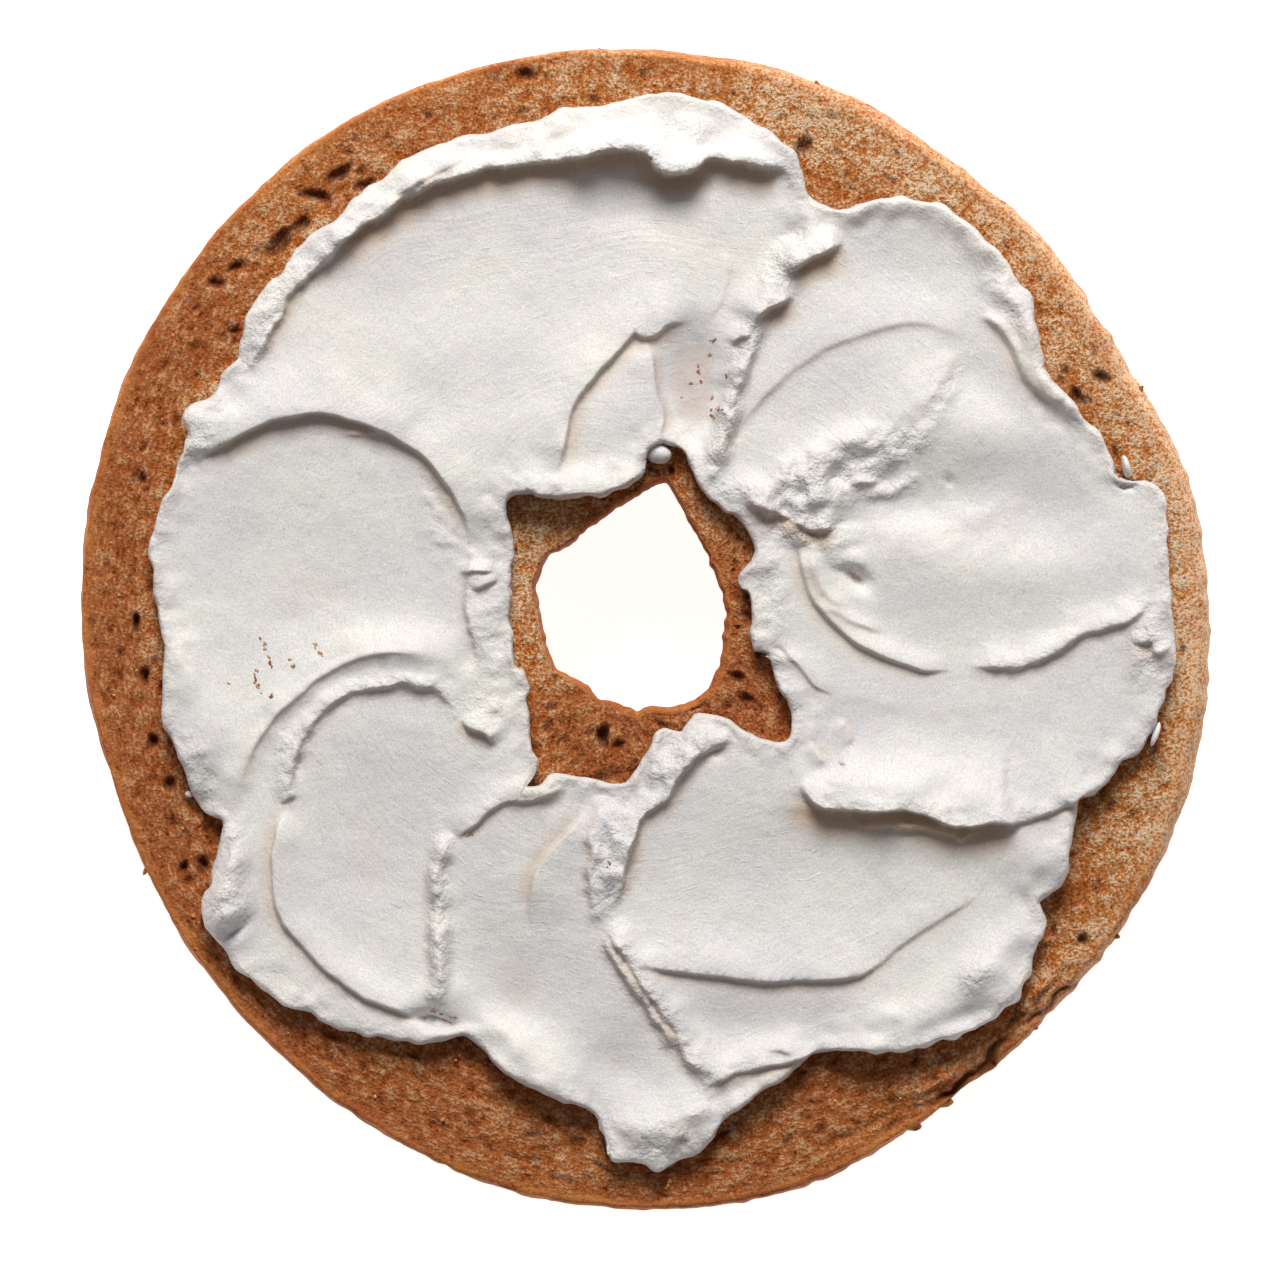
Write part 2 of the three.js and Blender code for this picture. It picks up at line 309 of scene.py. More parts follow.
@dataclass
class CreamRelief:
    """The thickness of the spread: knife strokes with rolled lips, steps and torn edges.

    Boldness scales every ridge. The edge stands upright over edge_lip of its thickness and is
    rounded over edge_round mm. A drop steeper than sharp mm gets the full painted shade at its foot.
    """

    spread: float = 2.0
    boldness: float = 0.88
    edge_round: float = 0.55
    edge_lip: float = 0.6
    thinnest: float = 0.45
    sharp: float = 0.6
    outer: list[Point] = field(default_factory=lambda: [
        (-42.6, 19.4), (-42.3, 20.3), (-41.2, 20.7), (-39.8, 21.3), (-38.9, 23.4), (-37.3, 25.2), (-36.8, 27.7),
        (-35.9, 29.8), (-34.7, 31.8), (-33.6, 32.3), (-32.7, 34.2), (-30.8, 36.2), (-28.7, 37.2), (-27.6, 38.4),
        (-25.1, 40.7), (-22.8, 42.4), (-22.1, 43.1), (-19.3, 44.3), (-17, 45.2), (-14.5, 45.4), (-12, 46.4),
        (-9.7, 46.9), (-7.8, 47.8), (-4.1, 48.1), (-2.3, 48.4), (0.5, 49.3), (5.1, 48.8), (6.9, 48.3),
        (8.7, 47.3), (12.4, 45), (13.4, 44.4), (14, 43.4), (14.3, 42.2), (14.8, 40.6), (15.4, 39.5), (17, 38.8),
        (18.9, 38.7), (19.8, 39.2), (22.5, 39.8), (25.3, 39.5), (27.2, 39), (29, 37.8), (31.7, 35.5),
        (33, 33.8), (34, 32.1), (34.5, 31.4), (35.6, 30.7), (35.8, 29), (36.3, 26.4), (36.9, 24.8), (36.6, 24),
        (38.2, 22), (40.5, 19.2), (41.7, 18.1), (42.4, 17), (43, 15.4), (43.6, 14.1), (45.1, 13.7),
        (46.5, 13.5), (47.4, 12.6), (47.9, 11), (48, 7.7), (48.1, 5.4), (48.3, 2.7), (48.7, -1), (48.6, -4.2),
        (47.8, -5.6), (47.1, -8.4), (46, -10.5), (43.7, -12.5), (42.3, -14.4), (41.4, -15.3), (40, -15.9),
        (39.5, -18), (39.1, -20.3), (38.9, -22.2), (38.2, -23.4), (36.8, -24.7), (36.1, -25.4), (36.8, -27.2),
        (35.9, -29.5), (35.2, -31.8), (34.1, -34.1), (32.9, -34.6), (31.3, -36.4), (28.1, -37.6), (25.3, -38.5),
        (23.5, -39), (18.9, -38.9), (16.1, -39), (13.8, -40.4), (12.4, -41.5), (10.1, -43.1), (7.4, -45),
        (6.9, -46.1), (5.1, -47.9), (3.2, -48.6), (2, -49.6), (0.9, -50), (-0.5, -49.1), (-3, -48.9),
        (-3.5, -47.5), (-4.1, -45.6), (-5.1, -44.4), (-7.8, -43.3), (-11, -41.8), (-12.9, -40.8), (-15.6, -38),
        (-16.6, -37.3), (-18, -37.6), (-19.8, -38), (-22.5, -37.9), (-26.2, -37.2), (-29.4, -36.3),
        (-31.3, -35), (-32.7, -34.9), (-35, -33.2), (-37.3, -31.4), (-38.6, -29.5), (-40.2, -27.5),
        (-40.8, -25.4), (-40, -23.1), (-39.3, -20.3), (-38.9, -19), (-38.8, -17.6), (-40.5, -16.5),
        (-41.6, -14.8), (-42.8, -12.1), (-43.9, -9.8), (-44.4, -8.8), (-44.4, -6.5), (-44.3, -4.7),
        (-44.2, -1.5), (-44.9, 1.3), (-45.1, 4), (-45.5, 7.3), (-45.1, 9.1), (-44.3, 11.9), (-43.5, 13.7),
        (-42.6, 16.5), (-41.9, 17.8),
    ])
    inner: list[Point] = field(default_factory=lambda: [
        (-12.3, 12.1), (-10.6, 12.5), (-9.8, 12), (-6, 12), (-4.1, 12.1), (-2.8, 12.6), (-1.4, 13.2),
        (-0.5, 13.9), (0, 14.6), (0.1, 15.5), (0.6, 16.5), (1.8, 17), (3.6, 16), (4, 15.1), (4.4, 13.9),
        (5.1, 12.8), (6.4, 11.4), (7.4, 10.5), (8.3, 10.2), (9.2, 9.1), (10.1, 7.7), (9.7, 6.3), (8.6, 4.9),
        (8.7, 3.6), (9.5, 2.7), (9.7, -1), (10.3, -2.4), (11.4, -2.5), (11.7, -4.2), (12.2, -5.6), (13.1, -7),
        (13.5, -7.9), (13.4, -9.3), (12.8, -10.4), (10.8, -9.9), (9, -9.1), (7.6, -8.2), (5.5, -7.8),
        (4.6, -7.9), (4, -8.6), (3.2, -9.4), (1.8, -8.9), (0.9, -9.5), (0.6, -10.7), (-0.5, -12.1), (-0.9, -13),
        (-1.6, -13.9), (-3.2, -14.1), (-5.1, -13.7), (-7.6, -13.2), (-8.7, -13.6), (-9.7, -14.4),
        (-10.8, -14.4), (-10.3, -13.4), (-9.8, -12), (-10.2, -10.7), (-10.6, -7.9), (-10.8, -6.5),
        (-10.6, -5.6), (-11, -4.2), (-11.7, -3.3), (-12.1, -1), (-12.3, 0.4), (-12, 3.1), (-12.3, 4),
        (-12, 6.3), (-12.1, 8.2), (-12.6, 10.9),
    ])
    ridges: list[Ridge] = field(default_factory=lambda: [
        # The stroke at the top, with its thick rolled lip.
        Ridge("top roll", [
            (-30.6, 33), (-28, 35.7), (-25.6, 37.4), (-22.6, 39.5), (-19.5, 41.1), (-15, 42.4), (-10, 43.2),
            (-6.5, 43.5), (-4.5, 44.1), (-1.5, 44.3), (0.3, 43.8), (1.3, 42.6), (3, 42.1), (4.6, 42.8),
            (5.6, 43.5), (8, 43.2), (10.5, 42.6), (12.8, 42.3), (14, 40.4)], 1.9, 2.7, 0.34, 0.2, 0.45, 0.26),
        Ridge("top roll start", [
            (-36.8, 23.6), (-35.4, 26), (-33.6, 29.2), (-32.2, 31.5), (-29.8, 33.6), (-28, 35.7), (-25.6, 37.4)
        ], 1, 2, 0.34, 0.2, 0.4, 0.2),
        Ridge("top curl", [
            (-8, 43.3), (-6.5, 43.5), (-4.5, 44.1), (-1.5, 44.3), (0.3, 43.8), (1.3, 42.6), (3, 42.1),
            (4.6, 42.8), (6, 43.4)], 1.3, 1.6, 0.34, 0.2, 0.6, 0.2, 2.5),
        Ridge("top fold", [(-24, 39.4), (-21, 41.3), (-18.5, 42.6), (-15.8, 43.8)], 0.55, 1, 0.35, 0.1),
        Ridge("top fold two", [(-15.8, 44), (-12, 45), (-8, 46), (-4, 47.2), (1, 47.8)], 0.5, 1.2, 0.7, 0.15),
        Ridge("top layer edge", [
            (-8.4, 14), (-7.5, 17), (-6.8, 20.5), (-5, 23.1), (-3.6, 24.6), (-2, 26.4), (-1.1, 27.2),
            (-0.2, 26.9), (1, 27.1), (1.8, 27.8), (3, 28.3), (4.6, 28.3)], 0.9, 3.2, 0.3, 0.12, 0.1, 0.12, 3),
        Ridge("top layer end", [
            (5.2, 28), (6.4, 29.6), (7.1, 31.6), (7.4, 33.4), (7.2, 35.5)], 0.2, 2, 0.5, 0.15),
        Ridge("scrape edge", [
            (1.2, 17), (1.5, 19.6), (1, 21.3), (0.7, 23), (0.5, 24.8), (-0.1, 26.6)
        ], 0.5, 2.4, 0.3, 0.1, 0, 0.1, 2),
        # Where it meets the stroke on the right: a ragged seam.
        Ridge("seam curl", [
            (12.4, 32.9), (13.8, 33.4), (15.2, 34.3), (16.6, 35), (18.2, 36)
        ], 1.8, 1.8, 0.34, 0.12, 0.5, 0.2, 2),
        Ridge("seam chunk", [
            (9.6, 27.7), (10.6, 29.1), (12.1, 30), (13.6, 31)], 1.6, 1.9, 0.34, 0.18, 0.5, 0.2, 2),
        Ridge("seam middle", [
            (6.9, 21.6), (7.6, 22.6), (8.6, 23), (9.4, 25.4), (9.3, 27)], 0.8, 1.1, 0.6, 0.2, 0.3),
        Ridge("seam low", [(6.2, 14.6), (6.9, 17.4), (7.7, 20.6), (8.3, 22.4)], 0.9, 0.9, 0.9, 0.2, 0.3, 0, 3),
        Ridge("seam nick", [(7.8, 26), (8.5, 26.8), (9.8, 27)], 0.5, 0.8, 0.25, 0.05, 0, 0.1, 1),
        # The stroke on the left.
        Ridge("left roll", [
            (-42, 14.6), (-40.2, 16.4), (-38.4, 17.4), (-36.4, 18.5), (-34.6, 19.3), (-32.6, 19.8),
            (-30.6, 20.1), (-28.4, 19.9), (-26.4, 19.3), (-24, 18.5), (-21.6, 17.1)
        ], 1.35, 3.4, 0.34, 0.08, 0, 0.26),
        Ridge("left roll end", [
            (-27, 19.5), (-24, 18.5), (-21.6, 17.1), (-19.9, 15.8), (-18, 13.4), (-16.9, 11.5), (-16.2, 9.8),
            (-15.8, 7)], 0.95, 3, 0.36, 0.1, 0, 0.2),
        Ridge("left roll fold", [(-28, 17.9), (-26, 18), (-23.6, 18.1)], 0.3, 0.5, 0.25, 0.03, 0, 0.1, 2),
        Ridge("left strip", [(-15.8, 8), (-15.9, 3), (-15.7, 0), (-15.2, -3.4)], 0.5, 1.6, 0.5, 0.2, 0.2),
        Ridge("left strip crease", [
            (-17.2, 5.2), (-15.6, 5.5), (-13.6, 5.4)], 0.6, 0.7, 0.25, 0.08, 0, 0.1, 1.5),
        Ridge("left strip crease two", [
            (-16, 3.6), (-14.8, 4.2), (-13.2, 5)], 0.5, 0.6, 0.25, 0.08, 0, 0.1, 1.5),
        # The stroke at the lower left, with its two lips.
        Ridge("lower left outer lip", [
            (-38.6, -18), (-37.6, -14.4), (-36.2, -10.6), (-34.2, -7.7), (-31.4, -5.2), (-28.7, -3.3),
            (-26, -2.2), (-23, -1.8), (-20, -2.2), (-17, -3.4)], 0.6, 2.6, 1.2, 0.12, 0.15, 0),
        Ridge("lower left lip line", [
            (-37.4, -14.6), (-36, -10.8), (-34, -7.9), (-31.2, -5.4), (-28.6, -3.5), (-26, -2.4), (-23, -2),
            (-20, -2.4)], 0.3, 0.4, 0.25, 0.1, 0.1, 0.1),
        Ridge("lower left inner lip", [
            (-32.6, -16), (-32.4, -12), (-31, -9), (-29.2, -7), (-27, -5.7), (-24.6, -5), (-21.8, -4.9),
            (-19.6, -5.2), (-18, -6.4), (-16.8, -8.1)], 0.55, 0.8, 0.36, 0.22, 0.35, 0.15),
        Ridge("lower left crease", [
            (-17, -8), (-16, -8.9), (-14.6, -9.4), (-13.4, -10.8)], 1, 1.4, 0.25, 0.06, 0, 0.2, 1.5),
        Ridge("lower left step", [
            (-32.8, -16.4), (-33.7, -19), (-34, -22), (-33.7, -25), (-32.9, -27), (-31.4, -28.8), (-29.4, -31),
            (-27, -32.8), (-25, -33.9), (-22, -35.2), (-20.3, -36.3)], 0.8, 2, 0.28, 0.08, 0, 0.15, 3),
        Ridge("lower left dent", [
            (-33.6, -16), (-32.8, -15.4), (-31.8, -15.1)], 0.5, 0.6, 0.25, 0.05, 0, 0.1, 1),
        Ridge("lower left rim", [
            (-37.6, -17.6), (-37.9, -21), (-38.6, -24), (-39, -26.6), (-38, -28.4)], 1.1, 2, 0.8, 0.2, 0.4, 0),
        # The stroke at the bottom.
        Ridge("bottom left ridge", [
            (-18, -18.4), (-18.8, -20.5), (-19.2, -23), (-19.2, -27), (-19.1, -30), (-18.9, -32.4),
            (-19.8, -34.6)], 0.75, 0.8, 0.6, 0.26, 0.4, 0, 3),
        Ridge("bottom top roll", [
            (-18, -19.2), (-16.7, -18.3), (-15, -17.1), (-13.7, -16.2), (-12, -15.6), (-10, -15.4),
            (-8.2, -14.8), (-6.8, -14.6)], 0.65, 1.8, 0.32, 0.14, 0.2, 0.15, 2.5),
        Ridge("bottom fold", [
            (-4.8, -15.9), (-6.5, -18.2), (-8.3, -20.1), (-9.6, -21.8), (-10.3, -23.8), (-10.6, -27.5)
        ], 0.8, 3, 0.3, 0.06, 0, 0),
        Ridge("bottom rim", [
            (-15.4, -37.7), (-12.8, -40.5), (-10.9, -41.5), (-7.7, -43), (-5, -44.1), (-3.9, -45.4)
        ], 1.2, 3.8, 0.6, 0.12, 0.15, 0),
        Ridge("tongue rim", [
            (5, -47.4), (6.8, -45.8), (7.4, -44.8), (10, -42.8), (12.3, -41.2), (13.7, -40.1)
        ], 0.7, 1.6, 0.5, 0.12, 0.15, 0, 2),
        Ridge("bottom tip rim", [
            (-3.6, -45), (-0.5, -46), (3, -45.4), (6.6, -43.6)], 1.1, 2.8, 1.3, 0.2, 0.35, 0),
        Ridge("bottom tip crease", [(1.8, -46.8), (3, -46.5), (4.4, -46.6)], 0.5, 0.6, 0.25, 0.08, 0, 0.1, 1),
        # The stroke at the lower right, with a crumbly wall on its left.
        Ridge("crumbly wall", [
            (-3, -25.5), (-2.4, -23.2), (-1.9, -21.2), (-1.3, -19.2), (-0.6, -17.6), (0.4, -16.4), (1.9, -15.5),
            (2.5, -14), (3.7, -12.4), (4.8, -11.2), (6.4, -10.6), (8.4, -9.6)
        ], 0.95, 1.4, 0.36, 0.2, 0.4, 0.18, 3),
        Ridge("crumbly wall foot", [
            (-3.2, -14.8), (-4.6, -18), (-4.9, -21.4), (-4.9, -24), (-4.4, -27)], 0.5, 1.2, 0.5, 0.25, 0.3, 0),
        Ridge("lower wall", [
            (-3.4, -26.6), (-2.4, -28.6), (-1.2, -30.6), (0, -32.4), (1.2, -34.2), (2.4, -36.2), (3.6, -38.2),
            (4.9, -40.1), (6, -41.4)], 0.8, 2.2, 0.45, 0.26, 0.5, 0.15, 3),
        Ridge("lower wall fold", [
            (-4.2, -28), (-3, -30), (-1.5, -32), (-0.1, -34), (1.3, -36.2), (2.8, -38.8)
        ], 0.5, 0.5, 0.26, 0.26, 0.4, 0.1, 2),
        Ridge("lower right step", [
            (-1.6, -30.4), (1, -31), (4, -31.4), (7, -31.7), (9, -32), (11, -32.2), (14, -32.1), (18, -31.9),
            (20, -31.5), (21.6, -30.5), (23, -29.2)], 0.85, 2.8, 0.24, 0.05, 0, 0.12),
        Ridge("lower right step end", [
            (20, -31.5), (21.6, -30.5), (23, -29.2), (25, -27.8), (27, -26.5), (28.8, -25.4), (31, -24)
        ], 0.4, 2.4, 0.3, 0.06, 0, 0.08),
        Ridge("hole top rim", [
            (-12.4, 12.5), (-10.6, 12.8), (-9.6, 12.3), (-6, 12.3), (-4.1, 12.4), (-2.9, 12.9), (-1.6, 13.5),
            (-0.8, 14.2), (-0.3, 15.2)], 0.5, 2, 0.5, 0.12, 0.15, 0, 2),
        Ridge("lower right edge", [
            (5.2, -42.6), (6.3, -41.5), (7.8, -40.8), (9.6, -40.3), (12, -39.8), (14.4, -39.2), (16.4, -38.7)
        ], 0.9, 2.2, 0.26, 0.12, 0.1, 0.12, 2.5),
        Ridge("lower right crease", [
            (10.8, -38.6), (12, -38.4), (13.8, -38.9)], 0.4, 0.6, 0.25, 0.05, 0, 0.1, 1),
        Ridge("lower right rim", [
            (16, -38.7), (19, -38.6), (23.5, -38.6), (25.3, -38.1), (28.1, -37.2), (31.2, -36), (33, -34.4),
            (34.4, -32.4), (35.2, -29.6)], 1.1, 3.8, 0.6, 0.15, 0.2, 0),
        # The stroke on the right, whose lower lip hangs over the one below.
        Ridge("right lip", [
            (14.4, -14), (15.2, -15.3), (16, -16), (17.2, -16.2), (18.6, -16.4), (20, -16.4), (21.6, -16.4),
            (23, -16.2), (24.6, -16.5), (26.4, -17.1), (28.4, -17.8), (29.6, -17.7), (31.6, -17.5),
            (33.2, -17.6), (34.6, -17.4)], 2.15, 4, 0.34, 0.16, 0.35, 0.26, 2.5),
        Ridge("right lip end", [
            (31.6, -17.5), (33.2, -17.6), (35, -17.3), (37, -16.7), (39, -15.9), (42, -14)
        ], 0.7, 3, 0.3, 0.16, 0.3, 0.15, 3),
        Ridge("right lip below", [
            (19, -17.9), (22, -17.8), (24, -18), (26.6, -18.3), (28.4, -18.7), (29, -19.2), (29.8, -18.6),
            (31.4, -18.2)], 0.8, 0.7, 0.3, 0.14, 0.3, 0.2, 3),
        Ridge("right line", [
            (14.2, 8.4), (14.5, 6), (14.9, 4.4), (15.5, 2.9), (16.4, 1.7), (17.6, 0.4), (19, -0.8),
            (20.6, -1.8), (22.5, -2.6), (24.5, -3.3), (26.2, -3.7), (28.4, -3.6)
        ], 0.75, 1.3, 0.25, 0.06, 0, 0.1, 3),
        Ridge("right line two", [
            (29.4, -3), (31, -3.2), (32.6, -3.3), (34.2, -3.4), (36, -2.8), (38, -1.8), (39.5, -0.8),
            (41, -0.1), (43, 0.4), (44.6, 1.2), (46.4, 2.6)], 0.7, 1.7, 0.3, 0.18, 0.25, 0.1, 3),
        Ridge("right soft crest", [
            (13, -2.6), (16, -4.8), (20, -6.3), (25, -7.2), (30, -7.2), (34, -6.2)], 0.12, 2, 1, 0.1, 0, 0),
        Ridge("right crease", [
            (11.6, -0.8), (13, -2), (14.6, -3.6), (15.8, -5.2), (17.6, -5.9)
        ], 0.35, 1.2, 0.25, 0.08, 0, 0.1, 2),
        Ridge("right crease two", [
            (16.6, -12.6), (15.8, -11.4), (14.8, -10.2)], 0.4, 0.8, 0.25, 0.05, 0, 0, 1.5),
        Ridge("right crease three", [(19, -11), (18.6, -9.6), (17.6, -8.2)], 0.35, 1, 0.4, 0.1, 0, 0, 1.5),
        Ridge("right end curl", [
            (44.4, -0.6), (45.4, -1.1), (46.6, -1), (47, -2), (48.4, -1.2)], 0.8, 0.9, 0.3, 0.1, 0.2, 0.1, 1.5),
        Ridge("right end side", [(44.6, 3), (44.6, 0), (44.9, -3), (45.6, -6.4)], 0.5, 1, 1, 0.2, 0.2, 0),
        # The torn crest between the right strokes.
        Ridge("torn crest", [
            (6.2, 12.8), (8.6, 12.6), (11, 12.8), (12.8, 13.8), (15, 15.1), (17.4, 16.1), (20, 17),
            (22.6, 17.7), (25.2, 18.2)], 0.6, 2, 1.6, 0.34, 0.45, 0.05),
        Ridge("torn crest low", [
            (15.8, 12.7), (18, 12.6), (20.4, 12.7), (23.4, 12.8), (26, 14)], 0.4, 1, 0.8, 0.3, 0.3, 0),
        Ridge("torn fold", [(18.8, 13.6), (20.2, 13.5), (21.8, 13.6)], 0.4, 0.4, 0.25, 0.05, 0, 0, 1),
        Ridge("torn mass", [
            (9, 11.9), (10.6, 11.3), (12.6, 10.7), (14, 9.9), (15.2, 9.3), (16.8, 9.5), (18.4, 9.2)
        ], 1.3, 1.6, 0.5, 0.3, 0.4, 0.15, 2),
        Ridge("torn mass low", [
            (15.6, 8.6), (16.6, 7.4), (18, 6.2), (19.4, 5.4), (20.8, 4.8)], 0.5, 1.3, 0.6, 0.3, 0.3, 0.1, 2),
        Ridge("nest", [
            (15.4, 7.6), (15.6, 5.4), (16.4, 3.8), (17.6, 2.6), (19, 2)], 0.5, 0.7, 0.4, 0.06, 0.1, 0, 2),
        Ridge("nest two", [
            (16.2, 2.6), (17.6, 1.6), (19.2, 0.8), (21, 0.1), (22.4, -0.3)], 0.4, 0.7, 0.3, 0.06, 0, 0, 2),
        Ridge("far soft crest", [
            (19, 9.4), (23, 8.8), (27, 8.8), (30, 9.8), (33.4, 11.4), (36, 12.4)
        ], 0.75, 1.8, 3.2, 0.25, 0.1, 0),
        # The stroke at the upper right.
        Ridge("upper right crest", [
            (7.6, 17.4), (11, 21.8), (15.5, 25.4), (20.5, 27.5), (25, 28.4), (28.4, 27.4), (30.4, 26.6)
        ], 0.34, 2.4, 0.5, 0.08, 0, 0.1),
        Ridge("upper right diagonal", [
            (21.6, 17.6), (24.4, 19.8), (26.6, 22), (28, 24.8), (29, 27)], 0.4, 2.4, 0.8, 0.3, 0.15, 0),
        Ridge("upper right rim", [
            (16.6, 36.4), (18.6, 37.8), (21, 38.7), (24.6, 38.9), (28, 37.7), (30.6, 35.8), (32.6, 33.4),
            (33.6, 31.6)], 0.75, 0.9, 1.2, 0.08, 0.1, 0),
        Ridge("right rim", [
            (31, 31.4), (33.6, 30.4), (35, 28), (35.4, 25.6), (36.2, 23.4), (38, 21.4), (40.6, 18.6)
        ], 1.3, 1, 0.9, 0.1, 0.1, 0, 3),
        Ridge("right rim fold", [
            (30.4, 28.9), (32, 28.2), (33.2, 26.9), (34.2, 25), (35.1, 23), (36.6, 21.5), (38.4, 20.4)
        ], 0.75, 0.7, 0.3, 0.08, 0.1, 0, 2),
    ])
    swells: list[Swell] = field(default_factory=lambda: [
        Swell(-8, 36, -0.4, 25, 7, 4), Swell(-1, 39.4, -0.6, 6, 3), Swell(-7, 12.4, 1.1, 8, 3),
        Swell(-14.5, 17, 0.9, 6, 4.4), Swell(28, -15.4, 1, 15, 6.5), Swell(32, -31, 0.8, 4, 2.6, 40),
        Swell(-40.3, -9.6, 0.8, 2.4, 4.2), Swell(36, -20.4, 0.5, 3.5, 3), Swell(-22, 24, 0.5, 14, 5, 4),
        Swell(-4.5, 18.5, 0.7, 6, 5), Swell(-31, 4.5, -1, 11, 9), Swell(-21.5, -2.6, 0.9, 6, 2.2, -4),
        Swell(-25, -20.5, -1, 7, 11), Swell(-12, -33, -1.1, 5.5, 7, 20), Swell(-2.5, -40.5, -1, 3.4, 3),
        Swell(12, -22, -0.8, 14, 6, 8), Swell(28, -10, -0.3, 13, 3.4), Swell(30, 10.8, -1.1, 11, 4.2),
        Swell(31, 5.6, 0.7, 10, 3.6), Swell(31.2, 22, -1, 4.6, 2.6, -40), Swell(-25, 35, 0.5, 9, 5, 35),
        Swell(29, 19.6, 0.8, 9, 4.5), Swell(9, -36.4, -0.6, 9, 2.6, -3), Swell(3.2, 41, -0.7, 3, 1),
        Swell(36.4, -21.4, 0.6, 3, 2.4), Swell(24, 33, -0.5, 7, 3.4, -15),
        Swell(4.3, 22.4, -1.45, 2.9, 5.4, 0, 2), Swell(2.7, 43.3, 0.5, 2, 0.9),
        Swell(5.7, 44.7, -0.9, 1.7, 0.6, 40), Swell(-15.5, 44.2, -0.6, 0.7, 0.25, 105),
        Swell(-42.3, -3.8, 0.8, 1.4, 2.8), Swell(-40.4, -15.4, -1.3, 1.3, 2.8, -10),
        Swell(-41.9, -2.6, -0.5, 0.3, 1.3, 14), Swell(-31.9, -12.7, -0.6, 0.55, 0.8),
        Swell(-37.8, -25.8, 0.9, 1.8, 2.6), Swell(-38.6, -24, 0.5, 1.1, 0.9),
        Swell(-38.4, -26.6, 0.6, 1.2, 0.9, 20), Swell(-37.7, -28, -0.8, 1.5, 0.35, 40),
        Swell(-19.4, -36, -1.6, 1.8, 0.6, -16), Swell(-18.2, -37.1, 0.9, 1.2, 0.5, 6),
        Swell(13.2, 10.9, -1.2, 2, 0.6, -36), Swell(19.3, 4.9, -2, 1.5, 0.75, -46),
        Swell(17.4, 14.2, -0.4, 1.3, 0.7, -20), Swell(21.2, 13.8, -0.5, 2, 0.6, -6),
        Swell(27.9, 13.6, -0.5, 0.7, 0.2, -48), Swell(6.5, -11.2, -0.7, 0.9, 0.6),
        Swell(22.6, -35.4, 0.4, 1.2, 0.8), Swell(30.6, -31.4, 0.6, 1.6, 1.1, 30),
        Swell(28.6, -36, -0.6, 3.4, 0.9, 20), Swell(13.4, 35.6, -1.3, 1.2, 1.4),
        Swell(-18.5, -33.6, 0.7, 2.2, 1.6), Swell(-12.5, -37.4, 0.8, 3.4, 1.5, -38),
        Swell(31.5, -30.4, 0.6, 8, 1.8, 45), Swell(16.5, 11.8, 1.1, 2.4, 1.2, -6),
        Swell(20, -14.2, 0.4, 5, 1.2), Swell(43.5, 14.6, -1.7, 0.5, 0.4, 65, 2),
        Swell(44.3, 13.1, -1, 0.9, 0.25, -2, 2), Swell(-43.8, 18.6, 0.5, 1.6, 1.4),
        Swell(-41.4, 19.3, 0.7, 1.3, 1.2), Swell(-16, -2.6, -0.6, 1.2, 1.4), Swell(6.6, 30.6, -0.3, 1.6, 5),
        Swell(47, 1.4, 0.5, 1.2, 2), Swell(45.4, -3.6, -0.5, 0.8, 1.8),
    ])
    torn: list[Torn] = field(default_factory=lambda: [
        Torn(12.9, 33.6, 1, 4.2, 1.9, 62, 2.1), Torn(9.4, 26.5, 0.8, 3.8, 1.2, 64, 1.9),
        Torn(7.4, 18.8, 0.9, 5, 1.1, 76, 1.5), Torn(17, 14.2, 0.9, 6.6, 2.6, 22, 1.9),
        Torn(14.6, 9.4, 0.7, 5, 2, -12, 1.9), Torn(22.5, 16.6, 0.5, 4.4, 1.6, 24, 1.5),
        Torn(27.4, 21.6, 0.25, 4.4, 1, 62, 1.4), Torn(-3.3, -20.4, 0.5, 1.5, 6.8, -8, 1.8),
        Torn(3, -11.6, 0.6, 4.2, 1.5, 42, 1.7), Torn(-18.9, -26.4, 0.5, 1.1, 9, 0, 1.9),
        Torn(30.2, -31.8, 0.4, 2.4, 1.5, 30, 1.6), Torn(-38.4, -25.4, 0.5, 1.9, 3.8, -4, 2),
        Torn(-14.2, -1, 0.25, 1.6, 12, 0, 2.3), Torn(46.2, -0.8, 0.5, 1.8, 4.4, 0, 1.7),
        Torn(-33, -12.6, 0.3, 1, 4.4, 0, 1.5), Torn(22, -16.4, 0.35, 8, 0.9, 0, 1.5),
        Torn(33.4, 30, 0.35, 4.4, 1.5, -55, 1.6), Torn(11.4, 3, 0.3, 1.8, 6.5, 0, 2.2),
        Torn(2, -47.6, 0.5, 3.4, 1.8, 0, 1.7), Torn(-34.6, 29, 0.5, 1.3, 6.5, -28, 1.7),
        Torn(-26, 39.4, 0.35, 5, 1.2, 40, 1.8), Torn(3, 45.2, 0.35, 4.4, 1.8, 0, 2.2),
        Torn(-18.4, 9.5, 0.14, 2, 6, 20, 1), Torn(-15, -7.4, 0.35, 2.6, 1.8, -35, 1.5),
        Torn(-41.4, 17.6, 0.5, 2.6, 1.7, 40, 1.6), Torn(8, -40.6, 0.3, 5, 1.2, 30, 1.7),
        Torn(-41, -12.6, 0.3, 1.3, 4.6, 20, 1.2), Torn(-30, -35.4, 0.25, 7, 0.9, -28, 1.4),
    ])

    def edges(self, theta: Grid) -> tuple[Grid, Grid]:
        """Gives the radius in mm of the hole-side edge and of the rim-side edge at each angle."""
        return Outline(self.inner).radius(theta), Outline(self.outer).radius(theta)

